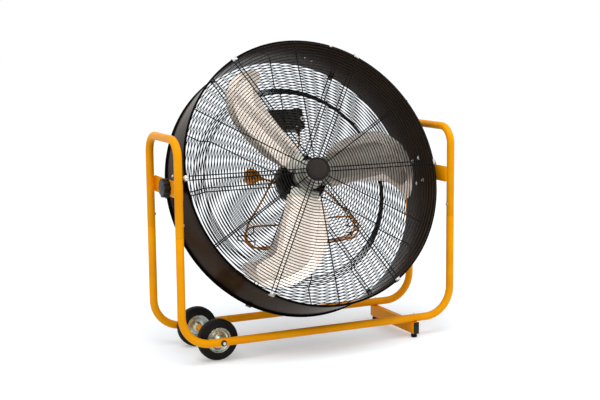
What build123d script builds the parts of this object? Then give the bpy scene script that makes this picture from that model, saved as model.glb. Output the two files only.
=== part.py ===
"""Drum fan: a tilting steel drum with grilles, blades and motor in a wheeled tube frame.

Millimetres, +Z up, the outlet grille faces -Y, origin on the floor under the middle.
The drum stands in its rest tilt, face up. Heights in the drum are measured from the
pivot along its axis, positive to the outlet, and angles anticlockwise seen from there.
"""

from build123d import *
from math import asin, cos, degrees, pi, radians, sin, tan
import os

os.makedirs("parts", exist_ok=True)

# Drum
drum_diameter = 1110.0  # over the rolled rims
drum_depth = 256.0
drum_sheet = 1.5
rim_height = 7.0  # rolled rim proud of the wall
rim_width = 14.0
tilt_angle = 21.5
pivot_height = 680.0

# Frame
tube_diameter = 32.0
tube_wall = 2.0
tube_sides = 12  # flats of the tube here, with its flats square to the frame
bend_facets = 6
pivot_gap = 25.0  # drum rim to pivot plate
frame_depth = 338.0  # front tubes to rear tubes, on centres
base_bend = 118.0
handle_bend = 72.0
seam_height = 506.0
handle_height = 877.0
spigot_length = 65.0
joint_screw_rise = 48.0  # above the seam
screw_diameter = 8.0
screw_head = 13.0
plate_thickness = 5.0
plate_height = 65.0

# Wheels and foot bar
wheel_diameter = 165.0
tyre_width = 44.0
tyre_shoulder = 6.0
rim_diameter = 100.0
rim_sheet = 3.0
wheel_x = -436.0
wheel_inset = 52.0  # wheel centre in from the base tube centre
wheel_boss = 34.0
wheel_hub_width = 50.0
wheel_dish = 8.0  # half the hub's thickness beside its boss
axle_diameter = 12.0
axle_sleeve = 32.0
turned_sides = 24  # flats of the turned pieces that only sit still or hide in others
sleeve_wall = 3.0
axle_nut_length = 10.0
foot_bar_x = 427.5
foot_bar_width = 25.0
foot_bar_depth = 50.0
foot_bar_wall = 2.0
foot_bar_overhang = 18.0  # beyond the base tube centres
foot_cap_flange = 3.0
foot_cap_plug = 9.0
foot_diameter = 26.0

# Grilles
wire = 5.0
ring_pitch = 12.07
ring_step = 4  # one ring in four is solid here
outer_ring = 541.0
hub_ring = 46.0
front_pattern = 0  # first ring of each set, counted from the rim
rear_pattern = 2
pair_spacing = 16.0
rod_reach = 551.0
recess_depth = 46.5  # rear grille steps forward by this
recess_radius = 386.0
recess_slope = 54.0
rear_hub_ring = 34.0
cap_diameter = 97.0
cap_depth = 14.0
clip_width = 30.0
clip_sheet = 2.0
clip_leg = 24.0

# Motor and fan
motor_diameter = 200.0
motor_length = 90.0
motor_cover = 12.0
motor_core = 24.0  # case and windings together
motor_base = 20.0
motor_bearing = 60.0
mount_plate = 190.0
mount_sheet = 4.0
motor_bolt_radius = 58.0
shaft_diameter = 19.0
shaft_length = 96.0
hub_diameter = 124.0
hub_length = 34.0
hub_wall = 4.0
hub_boss = 44.0
blade_height = 46.0  # blade line in front of the pivot
blade_sheet = 2.0
blade_root = 98.0
blade_tip = 494.0
blade_count = 3
blade_turn = 9.0  # rest angle of the first blade
camber_radius = 1138.0
camber_lead = 18.3  # slope of the sheet on the blade line
lip_start = 68.0  # stiffening lip along the trailing edge
lip_slope = 31.0
arm_thickness = 4.0
arm_width = 110.0
arm_reach = 156.0
blade_sweep = 230.0  # sheet width ahead of the blade line
lip_length = 60.0
blade_bolt_radius = 130.0
blade_bolt_spread = 42.0
blade_bolt_diameter = 8.0

# Tilt clamp
stud_diameter = 12.0
stud_boss = 46.0
knob_diameter = 75.0
knob_length = 27.0
knob_socket = 19.0  # how far the stud stands into the knob
knob_flutes = 10
knob_flute_radius = 7.0
friction_washer = 3.0
bracket_sheet = 3.0
bracket_width = 84.0
bracket_height = 132.0
bracket_bolt_rise = 50.0
bracket_bolt_spread = 52.0

# Switch box, cord and plug
box_width = 178.0
box_height = 88.0
box_depth = 52.0
box_wall = 2.5
box_lid = 4.0
box_x = 4.0
box_rise = 240.0  # its lower edge above the drum axis
switch_diameter = 30.0
bezel_diameter = 26.0
bezel_depth = 4.0
stem_diameter = 8.0
switch_knob_diameter = 20.0
switch_knob_length = 11.0
gland_diameter = 18.0
gland_length = 26.0
gland_x = 66.0
cord_diameter = 8.0
cord_back = 110.0  # cord line at the gland and the plug, behind the pivot
hook_wire = 5.0
hook_x = 217.0
hook_back = 123.0
hook_prong = 60.0
hook_rise = -205.0  # middle of the hook, from the drum axis
hook_gap = 16.0  # half the space between its legs
hook_toe = 23.0
plug_radius = 184.9  # its pins stand between two rings
plug_angle = 165.0
plug_length = 62.0
plug_width = 64.0
plug_neck = 24.0
plug_relief = 25.0
plug_straight = 20.0  # the cord's straight run at the plug
pin_diameter = 4.8
pin_spacing = 19.0
pin_length = 19.0

# Clearances
running = 0.05
running_end = 1.0  # past the end of a shaft or stud
slide_fit = 0.15
bolt_clearance = 0.2
facets = 6  # sides of the cord and of small shanks and holes
seat = 0.1  # between pieces that rest on each other
weld_gap = 0.05

tilt = radians(tilt_angle)
tube_radius = tube_diameter / 2
drum_radius = drum_diameter / 2
wall_radius = drum_radius - rim_height
wall_inside = wall_radius - drum_sheet
half_depth = drum_depth / 2
plate_inside = drum_radius + pivot_gap
frame_half = plate_inside + plate_thickness + tube_radius
depth_half = frame_depth / 2
base_height = wheel_diameter / 2
rod_height = half_depth + seat + wire / 2
face = Plane(origin=(0, 0, pivot_height), x_dir=(1, 0, 0), z_dir=(0, -cos(tilt), sin(tilt)))
section = Plane(origin=face.origin, x_dir=(1, 0, 0), z_dir=(0, -sin(tilt), -cos(tilt)))
drum_axis = Axis(face.origin, face.z_dir)


def save(part, name):
    part.part.label = name
    export_step(part.part, f"parts/{name}.step")


def on_face(x, rise, height):
    """A point of the drum: across, above its axis and forward of the pivot."""
    return face.from_local_coords(Vector(x, rise, height))


def radial_section(angle):
    """The plane through the drum's axis at an angle: radius across, height up."""
    outward = on_face(cos(radians(angle)), sin(radians(angle)), 0) - face.origin
    return Plane(origin=face.origin, x_dir=outward, z_dir=outward.cross(face.z_dir))


def on_wall(angle, radius, height):
    """A plane lying on the drum's wall, looking outwards."""
    outward = on_face(cos(radians(angle)), sin(radians(angle)), 0) - face.origin
    origin = face.origin + outward * radius + face.z_dir * height
    return Plane(origin=origin, x_dir=face.z_dir, z_dir=outward)


def tube_ring(outer, wall):
    """Draws a tube's section in the open sketch, with its flats square to the frame."""
    turn = 180 / tube_sides
    RegularPolygon(outer, tube_sides, major_radius=False, rotation=turn)
    RegularPolygon(outer - wall, tube_sides, major_radius=False, rotation=turn, mode=Mode.SUBTRACT)


def bend_route(points, bend):
    """The centre line through square corners, each bend in short facets."""
    corners = [Vector(*point) for point in points]
    route = [corners[0]]
    for before, corner, after in zip(corners, corners[1:], corners[2:]):
        along = (corner - before).normalized() * bend
        ahead = (after - corner).normalized() * bend
        for step in range(bend_facets + 1):
            turn = radians(90 * step / bend_facets)
            route.append(corner - along + ahead + along * sin(turn) - ahead * cos(turn))
    return route + [corners[-1]]


# ---------------------------------------------------------------- frame
spigot_radius = tube_radius - tube_wall - slide_fit
screw_height = seam_height + joint_screw_rise
for name, side_y in (("base_tube_front", -depth_half), ("base_tube_rear", depth_half)):
    base_corners = [
        (-frame_half, side_y, seam_height),
        (-frame_half, side_y, base_height),
        (frame_half, side_y, base_height),
        (frame_half, side_y, seam_height),
    ]
    with BuildPart() as base_tube:
        with BuildLine():
            Polyline(*bend_route(base_corners, base_bend))
        with BuildSketch(Plane(origin=base_corners[0], z_dir=(0, 0, -1))):
            tube_ring(tube_radius, tube_wall)
        sweep(transition=Transition.RIGHT)
        for side in (-1, 1):
            with BuildSketch(Plane(origin=(side * frame_half, side_y, seam_height))):
                tube_ring(tube_radius - tube_wall, tube_wall + slide_fit)
            extrude(amount=-spigot_length / 4)
            with BuildSketch(Plane(origin=(side * frame_half, side_y, seam_height))):
                tube_ring(spigot_radius, tube_wall)
            extrude(amount=spigot_length)
        with BuildSketch(Plane.XZ.offset(-side_y)):
            with Locations((wheel_x, base_height)):
                Circle(axle_diameter / 2 + bolt_clearance)
        extrude(amount=tube_diameter, both=True, mode=Mode.SUBTRACT)
        with BuildSketch(Plane.YZ.offset(-frame_half)):
            with Locations((side_y, screw_height)):
                RegularPolygon(screw_diameter / 2 + bolt_clearance, facets)
        extrude(amount=2 * frame_half, mode=Mode.SUBTRACT)
    save(base_tube, name)

for name, side in (("handle_left", -1), ("handle_right", 1)):
    handle_corners = [
        (side * frame_half, -depth_half, seam_height + seat),
        (side * frame_half, -depth_half, handle_height),
        (side * frame_half, depth_half, handle_height),
        (side * frame_half, depth_half, seam_height + seat),
    ]
    with BuildPart() as handle:
        with BuildLine():
            Polyline(*bend_route(handle_corners, handle_bend))
        with BuildSketch(Plane(origin=handle_corners[0])):
            tube_ring(tube_radius, tube_wall)
        sweep(transition=Transition.RIGHT)
        with BuildSketch(Plane.YZ.offset(side * frame_half)):
            with Locations((-depth_half, screw_height), (depth_half, screw_height)):
                RegularPolygon(screw_diameter / 2 + bolt_clearance, facets)
        extrude(amount=-side * tube_diameter, mode=Mode.SUBTRACT)
    save(handle, name)

with BuildPart() as frame_joint_screws:
    for side in (-1, 1):
        for side_y in (-depth_half, depth_half):
            head = Plane(
                origin=(side * (frame_half - tube_radius), side_y, screw_height),
                x_dir=(0, 1, 0),
                z_dir=(-side, 0, 0),
            )
            with BuildSketch(head):
                RegularPolygon(screw_head / 2, 6)
            extrude(amount=screw_diameter / 2)
            with BuildSketch(head):
                RegularPolygon(screw_diameter / 2, facets)
            extrude(amount=-3 * tube_wall)
save(frame_joint_screws, "frame_joint_screws")

for name, side in (("pivot_plate_left", -1), ("pivot_plate_right", 1)):
    with BuildPart() as pivot_plate:
        with BuildSketch(Plane.YZ.offset(side * plate_inside)):
            with Locations((0, pivot_height)):
                Rectangle(frame_depth, plate_height)
                Circle(stud_diameter / 2 + running, mode=Mode.SUBTRACT)
        extrude(amount=side * (plate_thickness - weld_gap))
    save(pivot_plate, name)

# ---------------------------------------------------------------- foot bar
foot_bar_top = base_height - tube_radius - weld_gap
foot_bar_base = foot_bar_top - foot_bar_depth
foot_bar_half = depth_half + foot_bar_overhang
with BuildPart() as foot_bar:
    with BuildSketch(Plane.XZ.offset(-foot_bar_half)):
        with Locations((foot_bar_x, foot_bar_top - foot_bar_depth / 2)):
            Rectangle(foot_bar_width, foot_bar_depth)
            Rectangle(
                foot_bar_width - 2 * foot_bar_wall,
                foot_bar_depth - 2 * foot_bar_wall,
                mode=Mode.SUBTRACT,
            )
    extrude(amount=2 * foot_bar_half)
save(foot_bar, "foot_bar")

cap_fit = foot_bar_wall + slide_fit
with BuildPart() as foot_bar_caps:
    for end in (-1, 1):
        with BuildSketch(Plane.XZ.offset(end * (foot_bar_half + weld_gap))):
            with Locations((foot_bar_x, foot_bar_top - foot_bar_depth / 2)):
                Rectangle(foot_bar_width, foot_bar_depth)
        extrude(amount=end * foot_cap_flange)
        with BuildSketch(Plane.XZ.offset(end * (foot_bar_half + weld_gap))):
            with Locations((foot_bar_x, foot_bar_top - foot_bar_depth / 2)):
                Rectangle(foot_bar_width - 2 * cap_fit, foot_bar_depth - 2 * cap_fit)
        extrude(amount=-end * foot_cap_plug)
save(foot_bar_caps, "foot_bar_caps")

with BuildPart() as rubber_feet:
    with BuildSketch():
        with Locations((foot_bar_x, -depth_half), (foot_bar_x, depth_half)):
            Circle(foot_diameter / 2)
    extrude(amount=foot_bar_base - weld_gap)
save(rubber_feet, "rubber_feet")

# ---------------------------------------------------------------- wheels
wheel_y = depth_half - wheel_inset
hub_side = wheel_hub_width / 2
axle_reach = depth_half + tube_radius + axle_nut_length
axle_plane = Plane.XZ.offset(-axle_reach)
with BuildPart() as axle_rod:
    with BuildSketch(axle_plane):
        with Locations((wheel_x, base_height)):
            Circle(axle_diameter / 2)
    extrude(amount=2 * axle_reach)
save(axle_rod, "axle_rod")

with BuildPart() as axle_nuts:
    for end in (-1, 1):
        with BuildSketch(Plane.XZ.offset(end * (depth_half + tube_radius + seat))):
            with Locations((wheel_x, base_height)):
                RegularPolygon(axle_diameter, 6)
                Circle(axle_diameter / 2 + running, mode=Mode.SUBTRACT)
        extrude(amount=end * axle_nut_length)
save(axle_nuts, "axle_nuts")

sleeve_half = wheel_y - hub_side - 3 * seat
with BuildPart() as axle_tube:
    with BuildSketch(Plane.XZ.offset(-sleeve_half)):
        with Locations((wheel_x, base_height)):
            RegularPolygon(axle_sleeve / 2, turned_sides)
            RegularPolygon(axle_sleeve / 2 - sleeve_wall, turned_sides, mode=Mode.SUBTRACT)
    extrude(amount=2 * sleeve_half)
    for end in (-1, 1):  # end discs that centre it on the rod
        with BuildSketch(Plane.XZ.offset(end * sleeve_half)):
            with Locations((wheel_x, base_height)):
                RegularPolygon(axle_sleeve / 2 - sleeve_wall, turned_sides)
                Circle(axle_diameter / 2 + running, mode=Mode.SUBTRACT)
        extrude(amount=-end * sleeve_wall)
save(axle_tube, "axle_tube")

spacer_length = wheel_inset - hub_side - tube_radius - 4 * seat
with BuildPart() as axle_spacers:
    for end in (-1, 1):
        with BuildSketch(Plane.XZ.offset(end * (wheel_y + hub_side + 3 * seat))):
            with Locations((wheel_x, base_height)):
                RegularPolygon(axle_diameter, tube_sides)
                Circle(axle_diameter / 2 + running, mode=Mode.SUBTRACT)
        extrude(amount=end * spacer_length)
save(axle_spacers, "axle_spacers")

for name, side in (("front", -1), ("rear", 1)):
    wheel_plane = Plane(origin=(wheel_x, side * wheel_y, base_height), z_dir=(0, 1, 0))
    with BuildPart() as hub:
        for radius, width in (
            (wheel_boss / 2, wheel_hub_width),
            (rim_diameter / 2 - rim_sheet, 2 * wheel_dish),
        ):
            with BuildSketch(wheel_plane):
                RegularPolygon(radius, turned_sides)
            extrude(amount=width / 2, both=True)
        with BuildSketch(wheel_plane):
            RegularPolygon(rim_diameter / 2, turned_sides)
            RegularPolygon(rim_diameter / 2 - 2 * rim_sheet, turned_sides, mode=Mode.SUBTRACT)
        extrude(amount=tyre_width / 2, both=True)
        with BuildSketch(wheel_plane):
            Circle(axle_diameter / 2 + running)
        extrude(amount=wheel_hub_width, both=True, mode=Mode.SUBTRACT)
    save(hub, f"wheel_hub_{name}")
    with BuildPart() as tyre:
        with BuildSketch(wheel_plane):
            RegularPolygon(wheel_diameter / 2 - 2 * tyre_shoulder, turned_sides)
        extrude(amount=tyre_width / 2, both=True)
        with BuildSketch(wheel_plane):
            Circle(wheel_diameter / 2)
        extrude(amount=tyre_width / 2 - tyre_shoulder, both=True)
        with BuildSketch(wheel_plane):
            RegularPolygon(rim_diameter / 2 + weld_gap, turned_sides)
        extrude(amount=tyre_width, both=True, mode=Mode.SUBTRACT)
    save(tyre, f"tyre_{name}")

# ---------------------------------------------------------------- drum
with BuildPart() as drum_shell:
    with BuildSketch(section):
        with BuildLine():
            Polyline(
                (wall_inside, -half_depth),
                (drum_radius, -half_depth),
                (drum_radius, rim_width - half_depth),
                (wall_radius, rim_width - half_depth),
                (wall_radius, half_depth - rim_width),
                (drum_radius, half_depth - rim_width),
                (drum_radius, half_depth),
                (wall_inside, half_depth),
                close=True,
            )
        make_face()
    revolve(axis=drum_axis)
    for side_angle in (0, 180):
        for turn in (-1, 1):
            bolt_angle = side_angle + turn * degrees(asin(bracket_bolt_rise / wall_radius))
            for offset in (-bracket_bolt_spread / 2, bracket_bolt_spread / 2):
                with BuildSketch(on_wall(bolt_angle, wall_radius, offset)):
                    RegularPolygon(screw_diameter / 2 + bolt_clearance, facets)
                extrude(amount=4 * drum_sheet, both=True, mode=Mode.SUBTRACT)
save(drum_shell, "drum_shell")

washer_face = plate_inside - seat - friction_washer
boss_face = washer_face - seat
stud_end = plate_inside + plate_thickness + knob_socket
foot_inside = wall_radius + seat
with BuildPart() as pivot_brackets:
    for side in (-1, 1):
        with BuildSketch(Plane.YZ.offset(side * boss_face)):
            with Locations((0, pivot_height)):
                RegularPolygon(stud_boss / 2, tube_sides)
        extrude(amount=-side * (boss_face - wall_inside))
    with BuildSketch(face):
        Circle(foot_inside)
    extrude(amount=half_depth, both=True, mode=Mode.SUBTRACT)
    for side in (-1, 1):
        with BuildSketch(face.offset(-bracket_width / 2)):
            Circle(foot_inside + bracket_sheet)
            Circle(foot_inside, mode=Mode.SUBTRACT)
            with Locations((side * foot_inside, 0)):
                Rectangle(4 * rim_height, bracket_height, mode=Mode.INTERSECT)
        extrude(amount=bracket_width)
        with BuildSketch(Plane.YZ.offset(side * boss_face)):
            with Locations((0, pivot_height)):
                Circle(stud_diameter / 2)
        extrude(amount=side * (stud_end - boss_face))
        for turn in (-1, 1):
            bolt_angle = 90 - side * 90 + turn * degrees(asin(bracket_bolt_rise / wall_radius))
            for offset in (-bracket_bolt_spread / 2, bracket_bolt_spread / 2):
                with BuildSketch(on_wall(bolt_angle, wall_radius, offset)):
                    RegularPolygon(screw_diameter / 2 + bolt_clearance, facets)
                extrude(amount=4 * bracket_sheet, mode=Mode.SUBTRACT)
save(pivot_brackets, "pivot_brackets")

with BuildPart() as friction_washers:
    for side in (-1, 1):
        with BuildSketch(Plane.YZ.offset(side * washer_face)):
            with Locations((0, pivot_height)):
                RegularPolygon(stud_boss / 2, tube_sides)
                Circle(stud_diameter / 2 + running, mode=Mode.SUBTRACT)
        extrude(amount=side * friction_washer)
save(friction_washers, "friction_washers")

for name, side in (("left", -1), ("right", 1)):
    knob_face = Plane.YZ.offset(side * (plate_inside + plate_thickness + seat))
    with BuildPart() as knob:
        with BuildSketch(knob_face):
            with Locations((0, pivot_height)):
                RegularPolygon(knob_diameter / 2, 2 * knob_flutes)
                with PolarLocations(knob_diameter / 2, knob_flutes):
                    RegularPolygon(knob_flute_radius, 6, mode=Mode.SUBTRACT)
        extrude(amount=side * knob_length)
        with BuildSketch(knob_face):
            with Locations((0, pivot_height)):
                Circle(stud_diameter / 2 + running)
        extrude(amount=side * (knob_socket + running_end), mode=Mode.SUBTRACT)
    save(knob, f"tilt_knob_{name}")

with BuildPart() as bracket_bolts:
    for side_angle in (0, 180):
        for turn in (-1, 1):
            bolt_angle = side_angle + turn * degrees(asin(bracket_bolt_rise / wall_radius))
            for offset in (-bracket_bolt_spread / 2, bracket_bolt_spread / 2):
                outside = foot_inside + bracket_sheet + seat
                with BuildSketch(on_wall(bolt_angle, outside, offset)):
                    RegularPolygon(screw_head / 2, 6)
                extrude(amount=screw_diameter / 2)
                with BuildSketch(on_wall(bolt_angle, outside, offset)):
                    RegularPolygon(screw_diameter / 2, facets)
                extrude(amount=-(outside - wall_inside + screw_diameter / 2))
                with BuildSketch(on_wall(bolt_angle, wall_inside - seat, offset)):
                    RegularPolygon(screw_head / 2, 6)
                extrude(amount=-screw_diameter / 2)
save(bracket_bolts, "bracket_bolts")

# ---------------------------------------------------------------- grilles
spokes = []  # angle and sideways place of each radial wire
for spoke_angle in range(0, 360, 60):
    spokes += [(spoke_angle, -pair_spacing / 2), (spoke_angle, pair_spacing / 2)]
    spokes += [(spoke_angle + 30, 0)]


def ring_sides(radius):
    """Straight lengths that a ring is rolled from here."""
    return 24 if radius > recess_radius else 18 if radius > recess_radius / 2 else 10


ring_rise = wire + weld_gap  # rings lie on the radial wires
ring_height = rod_height + ring_rise
ring_places = [outer_ring - ring_pitch * i for i in range(int(outer_ring / ring_pitch))]
front_rings = [radius for radius in ring_places[front_pattern::ring_step] if radius > cap_diameter]
with BuildPart() as front_grille:
    for radius in front_rings + [hub_ring]:
        with BuildSketch(face.offset(ring_height - wire / 2)):
            RegularPolygon(radius + wire / 2, ring_sides(radius))
            RegularPolygon(radius - wire / 2, ring_sides(radius), mode=Mode.SUBTRACT)
        extrude(amount=wire)
    for angle, aside in spokes:
        with BuildSketch(radial_section(angle).offset(aside - wire / 2)):
            with Locations(((rod_reach + hub_ring) / 2, rod_height)):
                Rectangle(rod_reach - hub_ring, wire)
        extrude(amount=wire)
save(front_grille, "front_grille")

recess_height = rod_height - recess_depth
rear_rings = [(outer_ring, -ring_height)]
for radius in ring_places[rear_pattern::ring_step]:
    if radius > recess_radius + recess_slope:
        rear_rings.append((radius, -ring_height))
    elif rear_hub_ring + ring_pitch < radius < recess_radius:
        rear_rings.append((radius, -recess_height - ring_rise))
rear_rings.append((rear_hub_ring, -recess_height - ring_rise))
with BuildPart() as rear_grille:
    for radius, height in rear_rings:
        with BuildSketch(face.offset(height - wire / 2)):
            RegularPolygon(radius + wire / 2, ring_sides(radius))
            RegularPolygon(radius - wire / 2, ring_sides(radius), mode=Mode.SUBTRACT)
        extrude(amount=wire)
    for angle, aside in spokes:
        with BuildSketch(radial_section(angle).offset(aside - wire / 2)):
            with BuildLine():
                Polyline(
                    (rod_reach, wire / 2 - rod_height),
                    (recess_radius + recess_slope - wire / 2, wire / 2 - rod_height),
                    (recess_radius - wire / 2, wire / 2 - recess_height),
                    (rear_hub_ring, wire / 2 - recess_height),
                    (rear_hub_ring, -wire / 2 - recess_height),
                    (recess_radius, -wire / 2 - recess_height),
                    (recess_radius + recess_slope, -wire / 2 - rod_height),
                    (rod_reach, -wire / 2 - rod_height),
                    close=True,
                )
            make_face()
        extrude(amount=wire)
save(rear_grille, "rear_grille")

ring_face = rod_height + ring_rise + wire / 2 + seat
with BuildPart() as front_cap:
    with BuildSketch(face.offset(ring_face)):
        RegularPolygon(cap_diameter / 2, 2 * turned_sides, major_radius=False)
    extrude(amount=cap_depth)
save(front_cap, "front_cap")

clip_inside = drum_radius + seat
for name, way in (("front", 1), ("rear", -1)):
    with BuildPart() as grille_clips:
        for clip_angle in range(0, 360, 60):
            clip_top = way * (rod_height + wire / 2 + seat)
            with BuildSketch(radial_section(clip_angle).offset(-clip_width / 2)):
                with BuildLine():
                    Polyline(
                        (outer_ring + wire, clip_top),
                        (clip_inside, clip_top),
                        (clip_inside, clip_top - way * clip_leg),
                        (clip_inside + clip_sheet, clip_top - way * clip_leg),
                        (clip_inside + clip_sheet, clip_top + way * clip_sheet),
                        (outer_ring + wire, clip_top + way * clip_sheet),
                        close=True,
                    )
                make_face()
            extrude(amount=clip_width)
    save(grille_clips, f"grille_clips_{name}")

# ---------------------------------------------------------------- motor and fan
rod_front = -recess_height + wire / 2 + seat
motor_rear = rod_front + mount_sheet + seat
motor_front = motor_rear + motor_length
shaft_start = motor_front - motor_length / 2
with BuildPart() as motor_mount:
    with BuildSketch(face.offset(rod_front)):
        RegularPolygon(mount_plate / 2, 6)
        with PolarLocations(motor_bolt_radius, 3):
            RegularPolygon(screw_diameter / 2 + bolt_clearance, facets, mode=Mode.SUBTRACT)
    extrude(amount=mount_sheet)
save(motor_mount, "motor_mount")

with BuildPart() as motor_body:
    with BuildSketch(face.offset(motor_rear)):
        Circle(motor_diameter / 2)
    extrude(amount=motor_front - motor_cover - motor_rear)
    with BuildSketch(face.offset(motor_rear + motor_base)):
        RegularPolygon(motor_diameter / 2 - motor_core, tube_sides)
        RegularPolygon(motor_bearing / 2, tube_sides, mode=Mode.SUBTRACT)
    extrude(amount=motor_front - motor_rear, mode=Mode.SUBTRACT)
    with BuildSketch(face.offset(shaft_start + motor_base)):
        RegularPolygon(motor_bearing / 2 + running_end, tube_sides)
    extrude(amount=motor_front - shaft_start, mode=Mode.SUBTRACT)
    with BuildSketch(face.offset(shaft_start - seat)):
        Circle(shaft_diameter / 2 + running)
    extrude(amount=motor_front - shaft_start, mode=Mode.SUBTRACT)
    with BuildSketch(face.offset(motor_rear)):
        with PolarLocations(motor_bolt_radius, 3):
            RegularPolygon(screw_diameter / 2 + bolt_clearance, facets)
    extrude(amount=motor_cover + screw_diameter / 4, mode=Mode.SUBTRACT)
save(motor_body, "motor_body")

with BuildPart() as motor_end_cover:
    with BuildSketch(face.offset(motor_front - motor_cover + seat)):
        Circle(motor_diameter / 2)
        Circle(shaft_diameter / 2 + running, mode=Mode.SUBTRACT)
    extrude(amount=motor_cover / 2 - seat)
    with BuildSketch(face.offset(motor_front - motor_cover / 2)):
        RegularPolygon(motor_diameter / 2 - motor_cover / 2, turned_sides)
        Circle(shaft_diameter / 2 + running, mode=Mode.SUBTRACT)
    extrude(amount=motor_cover / 2)
save(motor_end_cover, "motor_end_cover")

with BuildPart() as motor_shaft:
    with BuildSketch(face.offset(shaft_start)):
        Circle(shaft_diameter / 2)
    extrude(amount=shaft_length)
save(motor_shaft, "motor_shaft")

with BuildPart() as motor_bolts:
    for bolt_angle in range(0, 360, 120):
        behind = -recess_height - wire / 2 - seat
        with BuildSketch(face.offset(behind)):
            with PolarLocations(motor_bolt_radius, 1, start_angle=bolt_angle):
                RegularPolygon(screw_head / 2, 6)
        extrude(amount=-screw_diameter / 2)
        with BuildSketch(face.offset(behind)):
            with PolarLocations(motor_bolt_radius, 1, start_angle=bolt_angle):
                RegularPolygon(screw_diameter / 2, facets)
        extrude(amount=motor_rear + motor_cover - behind)
save(motor_bolts, "motor_bolts")

lead = radians(camber_lead)
camber_across = -camber_radius * sin(lead)
camber_up = blade_height + camber_radius * cos(lead)
lip_turn = asin((lip_start - camber_across) / camber_radius)
edge_turn = asin((-blade_sweep - camber_across) / camber_radius)
lip = radians(lip_slope)


def sheet_point(turn, layer):
    """A point of the cambered sheet, a layer behind the blade's back face."""
    bend = camber_radius + layer
    return camber_across + bend * sin(turn), camber_up - bend * cos(turn)


def blade_section(angle):
    """The plane square to a blade's length: its width across, height up."""
    outward = on_face(cos(radians(angle)), sin(radians(angle)), 0) - face.origin
    return Plane(origin=face.origin, x_dir=face.z_dir.cross(outward), z_dir=outward)


def bolt_place(angle, across, layer):
    """The plane on the cambered sheet where a blade bolt passes through."""
    turn = asin((across - camber_across) / camber_radius)
    here = blade_section(angle)
    x, height = sheet_point(turn, layer)
    spot = here.from_local_coords(Vector(x, height, blade_bolt_radius))
    ahead = here.from_local_coords(Vector(-sin(turn), cos(turn), 0)) - here.origin
    return Plane(origin=spot, x_dir=here.z_dir, z_dir=ahead)


blade_angles = [blade_turn + 360 / blade_count * i for i in range(blade_count)]
bolt_rows = (-blade_bolt_spread, 0, blade_bolt_spread)
bolt_hole = blade_bolt_diameter / 2 + bolt_clearance
with BuildPart() as fan_hub:
    for angle in blade_angles:
        arm_turn = arm_width / 2 / camber_radius
        with BuildSketch(blade_section(angle)):
            with BuildLine():
                near, far = seat, seat + arm_thickness
                front_arc = ThreePointArc(
                    sheet_point(lead - arm_turn, near),
                    sheet_point(lead, near),
                    sheet_point(lead + arm_turn, near),
                )
                rear_arc = ThreePointArc(
                    sheet_point(lead - arm_turn, far),
                    sheet_point(lead, far),
                    sheet_point(lead + arm_turn, far),
                )
                Line(front_arc @ 0, rear_arc @ 0)
                Line(front_arc @ 1, rear_arc @ 1)
            make_face()
        extrude(amount=arm_reach)
    with BuildSketch(face):
        Circle(hub_diameter / 2 - hub_wall / 2)
    extrude(amount=half_depth, mode=Mode.SUBTRACT)
    for angle in blade_angles:
        for across in bolt_rows:
            with BuildSketch(bolt_place(angle, across, 0)):
                RegularPolygon(bolt_hole, facets)
            extrude(amount=3 * arm_thickness, both=True, mode=Mode.SUBTRACT)
    hub_rear = blade_height - hub_length / 2
    hub_front = blade_height + hub_length / 2
    with BuildSketch(face.offset(hub_rear)):
        Circle(hub_diameter / 2)
        RegularPolygon(hub_diameter / 2 - hub_wall, turned_sides, mode=Mode.SUBTRACT)
        RegularPolygon(hub_boss / 2, tube_sides)
        Circle(shaft_diameter / 2 + running, mode=Mode.SUBTRACT)
    extrude(amount=hub_length - hub_wall)
    with BuildSketch(face.offset(hub_front - hub_wall)):
        Circle(hub_diameter / 2)
        Circle(shaft_diameter / 2 + running, mode=Mode.SUBTRACT)
    extrude(amount=hub_wall)
save(fan_hub, "fan_hub")

for number, angle in enumerate(blade_angles, 1):
    outward = blade_section(angle).z_dir
    with BuildPart() as blade:
        with BuildSketch(blade_section(angle)):
            with BuildLine():
                middle_turn = (edge_turn + lip_turn) / 2
                back_arc = ThreePointArc(
                    sheet_point(edge_turn, 0),
                    sheet_point(middle_turn, 0),
                    sheet_point(lip_turn, 0),
                )
                front_arc = ThreePointArc(
                    sheet_point(edge_turn, -blade_sheet),
                    sheet_point(middle_turn, -blade_sheet),
                    sheet_point(lip_turn, -blade_sheet),
                )
                lip_back = back_arc @ 1 + Vector(lip_length * cos(lip), lip_length * sin(lip))
                lip_front = lip_back + Vector(-blade_sheet * sin(lip), blade_sheet * cos(lip))
                Line(back_arc @ 0, front_arc @ 0)
                Polyline(back_arc @ 1, lip_back, lip_front, front_arc @ 1)
            make_face()
        extrude(amount=blade_tip)
        with BuildSketch(Plane(origin=face.origin, x_dir=outward, z_dir=face.z_dir)):
            with BuildLine():
                outline = Spline(
                    (blade_root, 75),
                    (192, 103),
                    (298, 110),
                    (395, 92),
                    (468, 45),
                    (blade_tip, -45),
                    (480, -125),
                    (432, -183),
                )
                edge = Spline((432, -183), (380, -118), (296, -79), (187, -67), (blade_root, -68))
                Line(edge @ 1, outline @ 0)
            make_face()
        extrude(amount=drum_depth, both=True, mode=Mode.INTERSECT)
        for across in bolt_rows:
            with BuildSketch(bolt_place(angle, across, 0)):
                RegularPolygon(bolt_hole, facets)
            extrude(amount=3 * blade_sheet, both=True, mode=Mode.SUBTRACT)
    save(blade, f"blade_{number}")

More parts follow.
